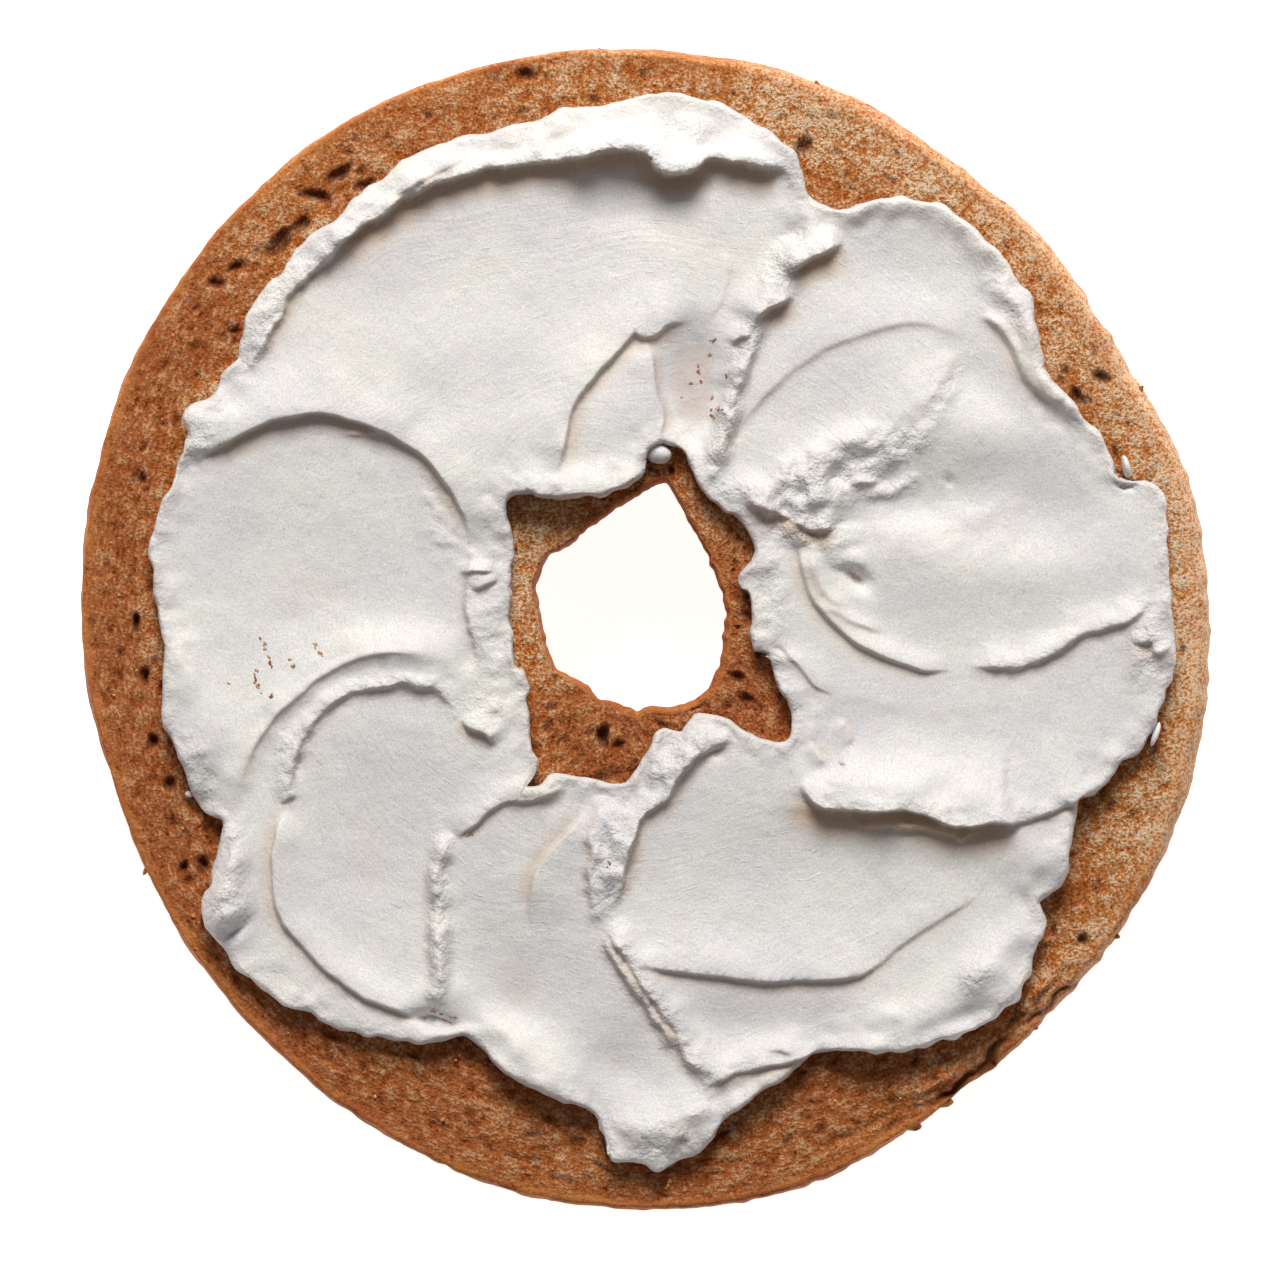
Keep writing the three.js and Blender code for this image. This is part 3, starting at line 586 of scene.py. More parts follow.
    def lay(self, x: Grid, y: Grid) -> tuple[Grid, Grid, Grid, Grid]:
        """Adds up all strokes.

        Args:
            x: places in mm.
            y: places in mm.

        Returns:
            Thickness, shift along x, shift along y, and the share of painted shade at the foot of a drop.
        """
        thick = np.full_like(x, self.spread)
        sx, sy, crease = np.zeros_like(x), np.zeros_like(x), np.zeros_like(x)
        for ridge in self.ridges:
            rise, px, py, foot = ridge.lay(x, y)
            thick, sx, sy = thick + self.boldness * rise, sx + px, sy + py
            # Painted shade at the foot of each drop: full for sharp drops, weaker for gentle ones.
            painted_shade = (1.0 if ridge.steep < self.sharp else 0.3) * min(1.0, 0.1 + 0.45 * ridge.height)
            crease = np.maximum(crease, foot * painted_shade)
        for bump in [*self.swells, *self.torn]:
            thick += bump.lay(x, y)
        thick += 0.05 * noise(x, y, 2.4, 31) + 0.10 * noise(x, y, 6.0, 32) + 0.025 * noise(x, y, 1.0, 33)
        return np.maximum(thick, self.thinnest), sx, sy, crease

    def crumbly(self, x: Grid, y: Grid) -> Grid:
        """Says how torn the surface is.

        Args:
            x: places in mm.
            y: places in mm.

        Returns:
            A share from 0 to 1 at each place.
        """
        shares = [t.patch().lay(x, y) * min(1.0, 1.6 * t.height) for t in self.torn]
        shares += [Ridge(r.name, r.line, 1.6 * r.lumps, 0.9, 0.9, 0.3, 0.0, 0.0, 1.0).lay(x, y)[0]
                   for r in self.ridges if r.lumps > 0.15]
        return np.clip(np.max(shares, axis=0), 0.0, 1.0)

    def steep_places(self, x: Grid, y: Grid) -> Grid:
        """Finds the sharp drops, which need a finer mesh.

        Args:
            x: places in mm.
            y: places in mm.

        Returns:
            Yes or no for each place.
        """
        close = np.zeros(x.shape, bool)
        for ridge in self.ridges:
            if ridge.steep <= 0.5:
                band = Ridge(ridge.name, ridge.line, 1.0, 0.4, 0.85, 0.0, 0.0, 0.0, 0.01)
                close |= band.lay(x, y)[0] > 0.37
        return close

    def depth(self, x: Grid, y: Grid) -> Grid:
        """Measures how far each place is from the nearest edge of the spread.

        Args:
            x: places in mm.
            y: places in mm.

        Returns:
            Distance in mm for each place.
        """
        theta = np.linspace(-math.pi, math.pi, 4000)
        tree = KDTree(2 * len(theta))
        for number, radius in enumerate(self.edges(theta)):
            for place, (a, b) in enumerate(zip(radius * np.cos(theta), radius * np.sin(theta))):
                tree.insert((a, b, 0.0), number * len(theta) + place)
        tree.balance()
        return np.array([tree.find((a, b, 0.0))[2] for a, b in zip(x.tolist(), y.tolist())])


class Shader:
    """A material's node tree, with one small helper that adds a node."""

    def __init__(self, name: str) -> None:
        """Starts an empty node material of that name."""
        self.material = bpy.data.materials.new(name)
        self.material.use_nodes = True
        self.tree = self.material.node_tree
        self.tree.nodes.clear()

    def add(self, kind: str, links: dict | None = None, **settings: object) -> bpy.types.Node:
        """Adds a node with its settings and links.

        Args:
            kind: the node's type, without the "ShaderNode" in front.
            links: input name or number to an output socket or a plain value.
            **settings: the node's own properties.

        Returns:
            The new node.
        """
        node = self.tree.nodes.new("ShaderNode" + kind)
        for key, value in settings.items():
            setattr(node, key, value)
        for key, value in (links or {}).items():
            if isinstance(value, bpy.types.NodeSocket):
                self.tree.links.new(value, node.inputs[key])
            else:
                node.inputs[key].default_value = value
        return node

    def ramp(self, share: bpy.types.NodeSocket, stops: list[tuple[float, str]]) -> bpy.types.NodeSocket:
        """Adds a colour ramp.

        Args:
            share: what drives the ramp.
            stops: place and hex colour of each stop.

        Returns:
            The ramp's colour output.
        """
        node = self.add("ValToRGB", {0: share})
        marks = node.color_ramp.elements
        while len(marks) < len(stops):
            marks.new(1.0)
        for mark, (place, colour) in zip(marks, stops):
            mark.position = place
            mark.color = linear(colour)
        return node.outputs["Color"]

    def blend(self, share: object, low: object, high: object, mode: str = "MIX") -> bpy.types.NodeSocket:
        """Mixes two colours and gives the result's socket."""
        node = self.add("Mix", {0: share, 6: low, 7: high}, data_type="RGBA", blend_type=mode)
        return node.outputs[2]

    def close(self, shader: bpy.types.Node) -> bpy.types.Material:
        """Joins the shader to the output and gives the finished material."""
        self.add("OutputMaterial", {0: shader.outputs[0]})
        return self.material


# Finishes ------------------------------------------------------------------------------------


@dataclass(frozen=True)
class ToastedBread:
    """Toasted wheat bread: a dry, open crumb on the cut and a thin baked crust outside.

    The cut was sawn with a knife and toasted, so its torn grains are pale on top; the small holes
    between them get a painted dark brown shade. The crust is smoother, and paler where it rolls
    over the rim.
    The finest real grains, about 0.1 mm, are drawn at 0.28 mm, since smaller ones wouldn't show.
    """

    # Crumb ramps for paler and browner bread; the dark first stop of each is painted shade in the hollows between
    # grains.
    light_crumb: tuple[str, str, str, str] = ("92400F", "C66C2A", "D88E4E", "FADEBC")
    dark_crumb: tuple[str, str, str, str] = ("5E2210", "A05428", "B46A3E", "D6A274")
    steps: tuple[float, float, float, float] = (0.47, 0.57, 0.67, 0.77)
    crust_dark: str = "AE6234"
    crust_light: str = "C88044"
    # Painted shade inside the open pores and down the knife crack.
    open_pore: str = "4E1A0B"
    speck: str = "F6DAB6"
    grain_mm: float = 0.28
    clump_mm: float = 1.0
    speck_mm: float = 0.75
    blotch_mm: float = 6.0
    streak_mm: float = 0.3
    streaks: float = 55.0
    relief_mm: float = 0.55

    def make(self) -> bpy.types.Material:
        """Builds the material.

        Returns:
            The material, which reads the mesh's attributes crust, pore, grain and toast.
        """
        s = Shader("toasted_wheat_bread")
        place = s.add("TexCoord").outputs["Object"]
        raised, on_crust, pore, toast = (s.add("Attribute", attribute_name=label).outputs["Fac"]
                                         for label in ("grain", "crust", "pore", "toast"))
        fine, clump, blotch = (
            s.add("TexNoise", {"Vector": place, "Scale": 1.0 / (size * MM), "Detail": detail, "Roughness": rough})
            .outputs["Fac"] for size, detail, rough in
            ((self.grain_mm, 3.0, 0.7), (self.clump_mm, 1.0, 0.5), (self.blotch_mm, 2.0, 0.5)))
        cells = s.add("TexVoronoi", {"Vector": place, "Scale": 1.0 / (self.speck_mm * MM)})
        # Drawn-out pores: noise in polar coordinates, long round the ring and short across it.
        flat = s.add("VectorMath", {0: place, 1: (1.0, 1.0, 0.0)}, operation="MULTIPLY").outputs[0]
        away = s.add("VectorMath", {0: flat}, operation="LENGTH").outputs["Value"]
        unit = s.add("VectorMath", {0: flat}, operation="NORMALIZE").outputs[0]
        rings = s.add("Math", {0: away, 1: 1.0 / (self.streak_mm * MM)}, operation="MULTIPLY").outputs[0]
        across = s.add("CombineXYZ", {2: rings}).outputs[0]
        turns = (self.streaks, self.streaks, 0.0)
        polar = s.add("VectorMath", {0: unit, 1: turns, 2: across}, operation="MULTIPLY_ADD")
        streak = s.add("TexNoise", {"Vector": polar.outputs[0], "Scale": 1.0, "Detail": 2.0}).outputs["Fac"]
        # The paler or browner palette, picked by toasting and painted shade together.
        side = s.ramp(toast, [(0.35, "000000"), (0.7, "FFFFFF")])
        # How far a grain stands out: fine grains or streaks, clumps, and the mesh's own relief.
        drawn = s.add("Math", {0: side, 1: 0.4}, operation="MULTIPLY").outputs[0]
        level = s.add("Mix", {0: drawn, 2: fine, 3: streak}).outputs[0]
        level = s.add("Math", {0: level, 1: 0.91}, operation="MULTIPLY").outputs[0]
        for part, weight in ((clump, 0.22), (raised, 0.16)):
            level = s.add("Math", {0: part, 1: weight, 2: level}, operation="MULTIPLY_ADD").outputs[0]
        shift = s.add("MapRange", {0: toast, 1: 0.12, 2: 0.5, 3: 0.085, 4: 0.0}).outputs[0]
        shown = s.add("Math", {0: level, 1: shift}).outputs[0]
        # Low grains take the dark end of each ramp: painted shade in the hollows between them.
        light = s.ramp(shown, list(zip(self.steps, self.light_crumb)))
        dark = s.ramp(shown, list(zip(self.steps, self.dark_crumb)))
        crumb = s.blend(side, light, dark)
        # The crust, browner where toasted, covers the crumb from the rim outwards.
        baked = s.ramp(blotch, [(0.38, self.crust_dark), (0.62, self.crust_light)])
        # Painted shade in the crust's hollows, where the grains lie low.
        grainy = s.ramp(level, [(0.48, "A87C60"), (0.60, "FFFFFF"), (0.74, "FFF2D8")])
        baked = s.blend(1.0, baked, grainy, "MULTIPLY")
        cover = s.add("MapRange", {0: toast, 1: 0.1, 2: 0.5, 3: 0.25, 4: 0.7}).outputs[0]
        colour = s.blend(s.add("Math", {0: on_crust, 1: cover}, operation="MULTIPLY").outputs[0], crumb, baked)
        # Pale round specks, more of them where the bread is less toasted.
        round_speck = s.ramp(cells.outputs["Distance"], [(0.18, "FFFFFF"), (0.34, "000000")])
        draw = s.add("SeparateXYZ", {0: cells.outputs["Color"]}).outputs[0]
        specks = s.ramp(draw, [(0.5, "000000"), (0.6, "FFFFFF")])
        few = s.add("MapRange", {0: toast, 1: 0.1, 2: 0.8, 3: 0.6, 4: 0.07}).outputs[0]
        for share in (round_speck, few):
            specks = s.add("Math", {0: specks, 1: share}, operation="MULTIPLY").outputs[0]
        colour = s.blend(specks, colour, linear(self.speck))
        # Painted shade in the open pores and down the knife crack.
        colour = s.blend(pore, colour, linear(self.open_pore))
        hollow = s.add("Math", {0: specks, 1: 0.3, 2: level}, operation="MULTIPLY_ADD")
        depth = s.add("MapRange", {0: on_crust, 3: self.relief_mm, 4: 0.4 * self.relief_mm})
        height = s.add("Math", {0: hollow.outputs[0], 1: depth.outputs[0]}, operation="MULTIPLY")
        bump = s.add("Bump", {"Height": height.outputs[0], "Strength": 1.0, "Distance": MM})
        rough = s.add("MapRange", {0: on_crust, 3: 0.9, 4: 0.7})
        return s.close(s.add("BsdfPrincipled", {
            "Base Color": colour, "Roughness": rough.outputs[0], "Normal": bump.outputs[0], "IOR": 1.4,
            "Specular IOR Level": 0.2,
        }))


@dataclass(frozen=True)
class SoftCheese:
    """Cream cheese: a moist paste, slightly see-through, dragged by a knife.

    The knife left it satin with faint drag lines. Light gets in a little way, so thin edges glow,
    and where it is thin the bread's brown shows. The foot and shaded face of each drop carry a
    painted warm brown shade, and the rim a little painted shade of its small lumps. The curd's
    real speckle is finer than 0.1 mm and is drawn at 0.14 mm, since it wouldn't show otherwise.
    """

    body: str = "F4F3F2"
    # Brown of the bread seen through thin cream, also used as painted shade along the rim's lumps.
    thin: str = "C6B4AC"
    # Painted warm brown shade at the foot and on the shaded face of each drop.
    foot: str = "C29A72"
    depth_mm: float = 0.8
    drag_mm: float = 0.45
    mark_mm: float = 1.3
    fine_mm: float = 0.3
    speckle_mm: float = 0.14
    torn_mm: float = 0.8
    cloud_mm: float = 8.0
    sweep_mm: float = 11.0

    def make(self) -> bpy.types.Material:
        """Builds the material.

        Returns:
            The material, which reads the mesh's attributes thin, crease, drag and crumbly.
        """
        s = Shader("cream_cheese_paste")
        place = s.add("TexCoord").outputs["Object"]
        thin, crease, drag, torn = (s.add("Attribute", attribute_name=label).outputs["Fac"]
                                    for label in ("thin", "crease", "drag", "crumbly"))
        colour = linear(self.body)
        for size, detail, stops in ((self.cloud_mm, 3.0, [(0.35, "F7F5F6"), (0.65, "FFFEF8")]),
                                    (self.speckle_mm, 1.0, [(0.3, "E6E4EA"), (0.7, "FFFFFF")])):
            tone = s.add("TexNoise", {"Vector": place, "Scale": 1.0 / (size * MM), "Detail": detail})
            colour = s.blend(1.0, colour, s.ramp(tone.outputs["Fac"], stops), "MULTIPLY")
        # Thin cream shows the bread's brown; along the rim this mix is painted shade of the small lumps.
        colour = s.blend(thin, colour, linear(self.thin))
        # Painted shade: warm brown at the foot and on the shaded face of each drop.
        colour = s.blend(crease, colour, linear(self.foot))
        # Drag lines: noise that changes fast across the stroke (drag) and slowly along it.
        sweep = 1.0 / (self.sweep_mm * MM)
        slow = s.add("VectorMath", {0: place, 1: (sweep, sweep, 0.0)}, operation="MULTIPLY")
        parts = s.add("SeparateXYZ", {0: slow.outputs[0]})
        fast = s.add("Math", {0: drag, 1: 1.0 / self.drag_mm}, operation="MULTIPLY")
        along = s.add("CombineXYZ", {0: parts.outputs[0], 1: parts.outputs[1], 2: fast.outputs[0]})
        lines = s.add("TexNoise", {"Vector": along.outputs[0], "Scale": 1.0, "Detail": 2.0}).outputs["Fac"]
        height = s.add("Math", {0: lines, 1: 0.04}, operation="MULTIPLY").outputs[0]
        short = s.add("VectorMath", {0: along.outputs[0], 1: (9.0, 9.0, 1.6)}, operation="MULTIPLY")
        dashes = s.add("TexNoise", {"Vector": short.outputs[0], "Scale": 1.0}).outputs["Fac"]
        dash = s.ramp(dashes, [(0.64, "000000"), (0.72, "FFFFFF")])
        height = s.add("Math", {0: dash, 1: 0.025, 2: height}, operation="MULTIPLY_ADD").outputs[0]
        grains = s.add("TexNoise", {"Vector": place, "Scale": 1.0 / (self.torn_mm * MM), "Detail": 3.0,
                                    "Roughness": 0.62}).outputs["Fac"]
        crumbs = s.add("Math", {0: torn, 1: grains}, operation="MULTIPLY").outputs[0]
        height = s.add("Math", {0: crumbs, 1: 0.6, 2: height}, operation="MULTIPLY_ADD").outputs[0]
        for size, depth, detail in ((self.mark_mm, 0.10, 4.0), (self.fine_mm, 0.03, 1.0)):
            bumps = s.add("TexNoise", {"Vector": place, "Scale": 1.0 / (size * MM), "Detail": detail,
                                       "Roughness": 0.6}).outputs["Fac"]
            height = s.add("Math", {0: bumps, 1: depth, 2: height}, operation="MULTIPLY_ADD").outputs[0]
        bump = s.add("Bump", {"Height": height, "Strength": 1.0, "Distance": MM})
        return s.close(s.add("BsdfPrincipled", {
            "Base Color": colour, "Roughness": 0.5, "Normal": bump.outputs[0], "IOR": 1.45,
            "Specular IOR Level": 0.3, "Subsurface Weight": 0.2, "Subsurface Scale": self.depth_mm * MM,
            "Subsurface Radius": (1.0, 0.85, 0.68),
        }))


@dataclass(frozen=True)
class LooseGrain:
    """Loose crumbs of toasted bread: dry and matt, pale where torn and brown where browned."""

    pale: str = "E2B070"
    mid: str = "CC8840"
    brown: str = "A05A2C"
    patch_mm: float = 1.1
    fine_mm: float = 0.3

    def make(self) -> bpy.types.Material:
        """Builds the material.

        Returns:
            The material.
        """
        s = Shader("loose_bread_crumb")
        place = s.add("TexCoord").outputs["Object"]
        patch = s.add("TexNoise", {"Vector": place, "Scale": 1.0 / (self.patch_mm * MM), "Detail": 1.0})
        fine = s.add("TexNoise", {"Vector": place, "Scale": 1.0 / (self.fine_mm * MM), "Detail": 2.0})
        colour = s.ramp(patch.outputs["Fac"], [(0.42, self.brown), (0.5, self.mid), (0.6, self.pale)])
        bump = s.add("Bump", {"Height": fine.outputs["Fac"], "Strength": 0.6, "Distance": 0.1 * MM})
        return s.close(s.add("BsdfPrincipled", {
            "Base Color": colour, "Roughness": 0.85, "Normal": bump.outputs[0], "IOR": 1.4}))


@dataclass(frozen=True)
class RustyFleck:
    """Scorched crumb dragged into the cream: soft rusty brown, smeared with paste."""

    dark: str = "8F5433"
    light: str = "C9A387"
    patch_mm: float = 0.7

    def make(self) -> bpy.types.Material:
        """Builds the material.

        Returns:
            The material.
        """
        s = Shader("smeared_crumb_fleck")
        place = s.add("TexCoord").outputs["Object"]
        patch = s.add("TexNoise", {"Vector": place, "Scale": 1.0 / (self.patch_mm * MM), "Detail": 2.0})
        colour = s.ramp(patch.outputs["Fac"], [(0.4, self.dark), (0.62, self.light)])
        bump = s.add("Bump", {"Height": patch.outputs["Fac"], "Strength": 0.4, "Distance": 0.1 * MM})
        return s.close(s.add("BsdfPrincipled", {
            "Base Color": colour, "Roughness": 0.7, "Normal": bump.outputs[0], "IOR": 1.4}))


@dataclass(frozen=True)
class StudioPaper:
    """White background paper, lit from behind so that it stays white."""

    sheet: str = "F4F4F4"
    glow: str = "FFFFFF"
    glow_strength: float = 0.88

    def make(self) -> bpy.types.Material:
        """Builds the material.

        Returns:
            The material.
        """
        s = Shader("white_background_paper")
        return s.close(s.add("BsdfPrincipled", {
            "Base Color": linear(self.sheet), "Roughness": 0.9, "Emission Color": linear(self.glow),
            "Emission Strength": self.glow_strength,
        }))


# Meshes --------------------------------------------------------------------------------------


class RingMesh:
    """A torus of quads whose vertices know their angle and their share round the section."""

    def __init__(self, around: int, section: int) -> None:
        """Spins a circle into a torus.

        Few spin steps are quick, so the circle carries the many vertices round the bagel's axis
        and the spin makes the few round the section.

        Args:
            around: vertices round the bagel's axis.
            section: vertices round the section.
        """
        self.bm = bmesh.new()
        tilt = Matrix.Translation((2.0, 0.0, 0.0)) @ Matrix.Rotation(math.radians(90), 4, "X")
        circle = bmesh.ops.create_circle(self.bm, cap_ends=False, segments=around, radius=1.0)
        bmesh.ops.transform(self.bm, matrix=tilt, verts=circle["verts"])
        bmesh.ops.spin(
            self.bm, geom=self.bm.verts[:] + self.bm.edges[:], cent=(0, 0, 0), axis=(0, 0, 1),
            angle=2 * math.pi, steps=section, use_merge=True, use_duplicate=False, dvec=(0, 0, 0),
        )

    def places(self) -> tuple[Grid, Grid]:
        """Tells where each vertex is.

        Returns:
            Its angle in radians and its share round the section from 0 to 1.
        """
        flat = np.array([v.co for v in self.bm.verts])
        theta = np.arctan2(flat[:, 2], np.hypot(flat[:, 0], flat[:, 1]) - 2.0)
        share = np.arctan2(flat[:, 1], flat[:, 0]) / (2 * math.pi)
        return theta, np.mod(share + 1e-6, 1.0)

    def refine(self, wanted: Grid, cuts: int) -> None:
        """Splits the edges whose two ends are wanted.

        Args:
            wanted: one yes or no for each vertex.
            cuts: new vertices on each of these edges.
        """
        self.bm.verts.index_update()
        edges = [e for e in self.bm.edges if wanted[e.verts[0].index] and wanted[e.verts[1].index]]
        bmesh.ops.subdivide_edges(self.bm, edges=edges, cuts=cuts, use_grid_fill=True)

    def finish(self, name: str, places: Grid, layers: dict[str, Grid]) -> bpy.types.Object:
        """Moves the vertices and makes the object.

        Args:
            name: the piece's name.
            places: one x, y, z row in mm for each vertex.
            layers: attribute name to one value for each vertex.

        Returns:
            The new object, with its place in its mesh.
        """
        for vertex, row in zip(self.bm.verts, (places * MM).tolist()):
            vertex.co = row
        bmesh.ops.recalc_face_normals(self.bm, faces=self.bm.faces)
        if self.bm.calc_volume(signed=True) < 0:
            bmesh.ops.reverse_faces(self.bm, faces=self.bm.faces)
        piece = as_object(name, self.bm)
        piece.data.shade_smooth()
        for label, values in layers.items():
            attribute = piece.data.attributes.new(label, "FLOAT", "POINT")
            attribute.data.foreach_set("value", values.astype(np.float32))
        return piece


def as_object(name: str, bm: bmesh.types.BMesh) -> bpy.types.Object:
    """Makes an object of a bmesh and frees the bmesh.

    Args:
        name: the object's name.
        bm: the finished shape in metres.

    Returns:
        The object, linked to the scene.
    """
    mesh = bpy.data.meshes.new(name)
    bm.to_mesh(mesh)
    bm.free()
    piece = bpy.data.objects.new(name, mesh)
    bpy.context.collection.objects.link(piece)
    return piece


def stretches(share: Grid, rows: list[int]) -> tuple[Grid, Grid]:
    """Splits the way round a section into stretches.

    Args:
        share: each vertex's share round the section.
        rows: vertices on each stretch, in order.

    Returns:
        The number of each vertex's stretch, and its share along that stretch.
    """
    marks = np.concatenate([[0], np.cumsum(rows)]) / sum(rows)
    part = np.clip(np.searchsorted(marks, share, side="right") - 1, 0, len(rows) - 1)
    return part, (share - marks[part]) / (marks[part + 1] - marks[part])


class Stretch(Enum):
    """The stretches of the bread's section, in order from the rim round the cut face."""

    CUT_RIM = "cut face near the rim"
    CUT_MIDDLE = "cut face under the cream"
    CUT_HOLE = "cut face near the hole"
    HOLE_WALL = "wall of the hole"
    BASE = "flat base"
    CRUST = "outer crust"


@dataclass
class BagelHalf:
    """The bread: a half ring with a flat cut face, a browned crust and a hole.

    The rim's radii go round in even steps from +X. A big pore is its place, its half length and
    half width, and its turn in degrees. The hole's wall starts with a lip that drops hole_drop.
    """

    relief: CreamRelief
    height: float = 18.0
    widest_height: float = 14.0
    hole_drop: float = 2.5
    hole_lip: float = 0.45
    outer_curl: float = 15.0
    inner_curl: float = 9.0
    crust_power: float = 2.3
    crust_bulge: float = 0.68
    lip_share: float = 0.3
    mean_radius: float = 52.0
    cut_inset: float = 0.5
    cut_inset_extra: float = 0.9
    under_cream: float = 1.4
    around: int = 920
    rows: dict[Stretch, int] = field(default_factory=lambda: {
        Stretch.CUT_RIM: 36, Stretch.CUT_MIDDLE: 4, Stretch.CUT_HOLE: 20, Stretch.HOLE_WALL: 12,
        Stretch.BASE: 3, Stretch.CRUST: 26,
    })
    rim_radii: list[float] = field(default_factory=lambda: [
        52.0, 52.1, 50.6, 51.4, 52, 52.9, 53.5, 54.1, 54.3, 54.0, 53.5, 52.7,
        52.1, 51.3, 51.3, 51.6, 52.3, 53.2, 53.5, 53.4, 52.2, 51.4, 52.2, 52.3,
    ])
    hole: list[Point] = field(default_factory=lambda: [
        (7.5, 0.4), (7.4, 2.7), (6.8, 4.6), (6, 6.3), (5, 8.2), (4.2, 9.4), (3.5, 10.9), (2.6, 12.8),
        (1.7, 13.6), (0, 12.9), (-0.9, 12.2), (-3.7, 10.5), (-6.4, 8.4), (-7.6, 7.6), (-9.2, 6.6), (-9.9, 5.2),
        (-10.2, 3.9), (-9.8, 2.4), (-9.5, 0.4), (-9.2, -1), (-8.5, -3.1), (-7.4, -4.1), (-5.4, -5.1),
        (-4.4, -6.1), (-2.2, -6.9), (-0.8, -7.5), (0.8, -7.2), (3.4, -7.1), (5.2, -6.2), (6.1, -5), (6.9, -3.2),
    ])
    ridges: list[Ridge] = field(default_factory=lambda: [
        Ridge("knife crack", [
            (25.4, -44.8), (27.4, -43), (29.2, -41.4), (30.6, -40.3), (32.2, -38.5), (34, -37.2)
        ], -1.5, 0.3, 0.45, 0.5, 0, 0),
        Ridge("knife crack end", [
            (33.2, -37.4), (35, -36.2), (36.8, -34.4), (38.8, -33), (41, -30.6)], -1, 0.22, 0.4, 0.45, 0, 0),
        Ridge("striations", [(27, -44.6), (30.4, -41.8), (33.4, -39), (37, -35.6)], -0.5, 0.2, 0.25, 0.3, 0, 0),
        Ridge("torn lip", [
            (22.8, -45.6), (25.2, -43.2), (27.6, -41.2), (30, -39.2), (32, -37.2), (34.2, -35.2), (36.8, -33.2),
            (38.8, -31.2), (40.4, -29.4)], 0.4, 0.5, 0.35, 0.5, 0.9, 0),
        Ridge("knife score", [(14, -48.6), (20, -46), (25, -43), (28, -40.6)], -0.4, 0.3, 0.3, 0.3, 0, 0),
    ])
    small_pores: tuple[tuple[float, float, int], ...] = ((40.0, 53.0, 1500), (8.0, 18.0, 300))
    big_pores: list[tuple[float, float, float, float, float]] = field(default_factory=lambda: [
        (-33.7, 35.6, 1.5, 0.6, 40), (-31.7, 37.3, 0.9, 0.45, 45), (-28.2, 42, 1.3, 0.5, 38),
        (-30.2, 39.8, 1.3, 0.5, -8), (-25.8, 41, 1, 0.4, 30), (-11, 51, 0.8, 0.45, 0),
        (-13.4, 50.7, 0.4, 0.3, 0), (-20.2, 47.4, 0.4, 0.3, 0), (-37.7, 27.3, 0.5, 0.4, 0),
        (-38, 26.4, 0.34, 0.3, 0), (-37.6, 33.3, 0.7, 0.35, 20), (-39.6, 32, 0.7, 0.4, 10),
        (-46.4, 13.7, 0.3, 0.5, 0), (-46, -4.4, 0.34, 0.7, 10), (-45.3, -10.4, 0.4, 0.6, 20),
        (-47, 0.6, 0.3, 0.7, 0), (14.5, 44.5, 0.8, 0.5, 60), (-7.2, -10.1, 0.7, 0.34, 10),
        (-5, -9.5, 0.6, 0.34, -20), (-3.8, -9.9, 0.4, 0.8, 10), (-2.4, -10.6, 0.6, 0.4, 30),
        (9.3, -6.3, 0.7, 0.4, -30), (7.9, -6.5, 0.4, 0.3, 20), (-4, -13.5, 0.8, 0.4, -6),
        (8.6, -4.4, 0.5, 0.4, 0), (2.3, 14.7, 0.4, 0.4, 0), (42, 23.3, 0.8, 0.5, -30),
        (39.8, 21.3, 0.8, 0.5, -40), (38.7, 23.6, 0.4, 0.34, 0), (-42.5, -21.9, 0.5, 0.6, 0),
        (-42, -23.1, 0.6, 0.34, 10), (-40.5, -21.8, 0.4, 0.5, 20), (-43.8, -14.3, 0.5, 0.5, 0),
        (-14.6, -47.6, 0.9, 0.3, -40), (-12.4, -48.5, 1.1, 0.26, -12), (-7, -8.6, 0.5, 0.3, 0),
        (-9, -9, 0.5, 0.3, 40), (-6.4, -12.3, 0.5, 0.3, 20), (40.4, -28.6, 0.5, 0.5, 0), (0.6, 15, 0.3, 0.3, 0),
    ])

    def rim(self, theta: Grid) -> Grid:
        """Works out the rim.

        Args:
            theta: angles in radians.

        Returns:
            Radius in mm at each angle.
        """
        angles = np.linspace(0, 2 * math.pi, len(self.rim_radii), endpoint=False)
        points = [(r * math.cos(a), r * math.sin(a)) for r, a in zip(self.rim_radii, angles)]
        return Outline(points).radius(theta)

    def section(self, theta: Grid, share: Grid) -> tuple[Grid, Grid, Grid, Grid, Grid]:
        """Carries each vertex to its radius and height.

        Args:
            theta: angle in radians.
            share: share round the section.

        Returns:
            Radius and height in mm, the outward direction in the section as two arrays, and how
            much of the crust shows there.
        """
        rx, ry = self.mean_radius * np.cos(theta), self.mean_radius * np.sin(theta)
        rugged = 0.5 + 0.9 * smooth(0.5 + 0.7 * np.cos(theta + 0.55))
        rim = self.rim(theta) + rugged * (0.09 * noise(rx, ry, 2.4, 11) + 0.09 * noise(rx, ry, 0.9, 12))
        hole = Outline(self.hole).radius(theta)
        hole = hole + 0.14 * noise(3 * hole * np.cos(theta), 3 * hole * np.sin(theta), 2.0, 13)
        inset = self.cut_inset + self.cut_inset_extra * smooth(1.1 * np.cos(theta - 0.4))
        outer, inner = rim - inset, hole + self.hole_lip
        cream_in, cream_out = self.relief.edges(theta)
        outer_band = np.clip(outer - cream_out, 0.5, 20) + self.under_cream
        inner_band = np.clip(cream_in - inner, 0.5, 20) + self.under_cream
        part, t = stretches(share, [self.rows[stretch] for stretch in Stretch])
        which = [part == number for number, _ in enumerate(Stretch)]
        power = 2 / self.crust_power

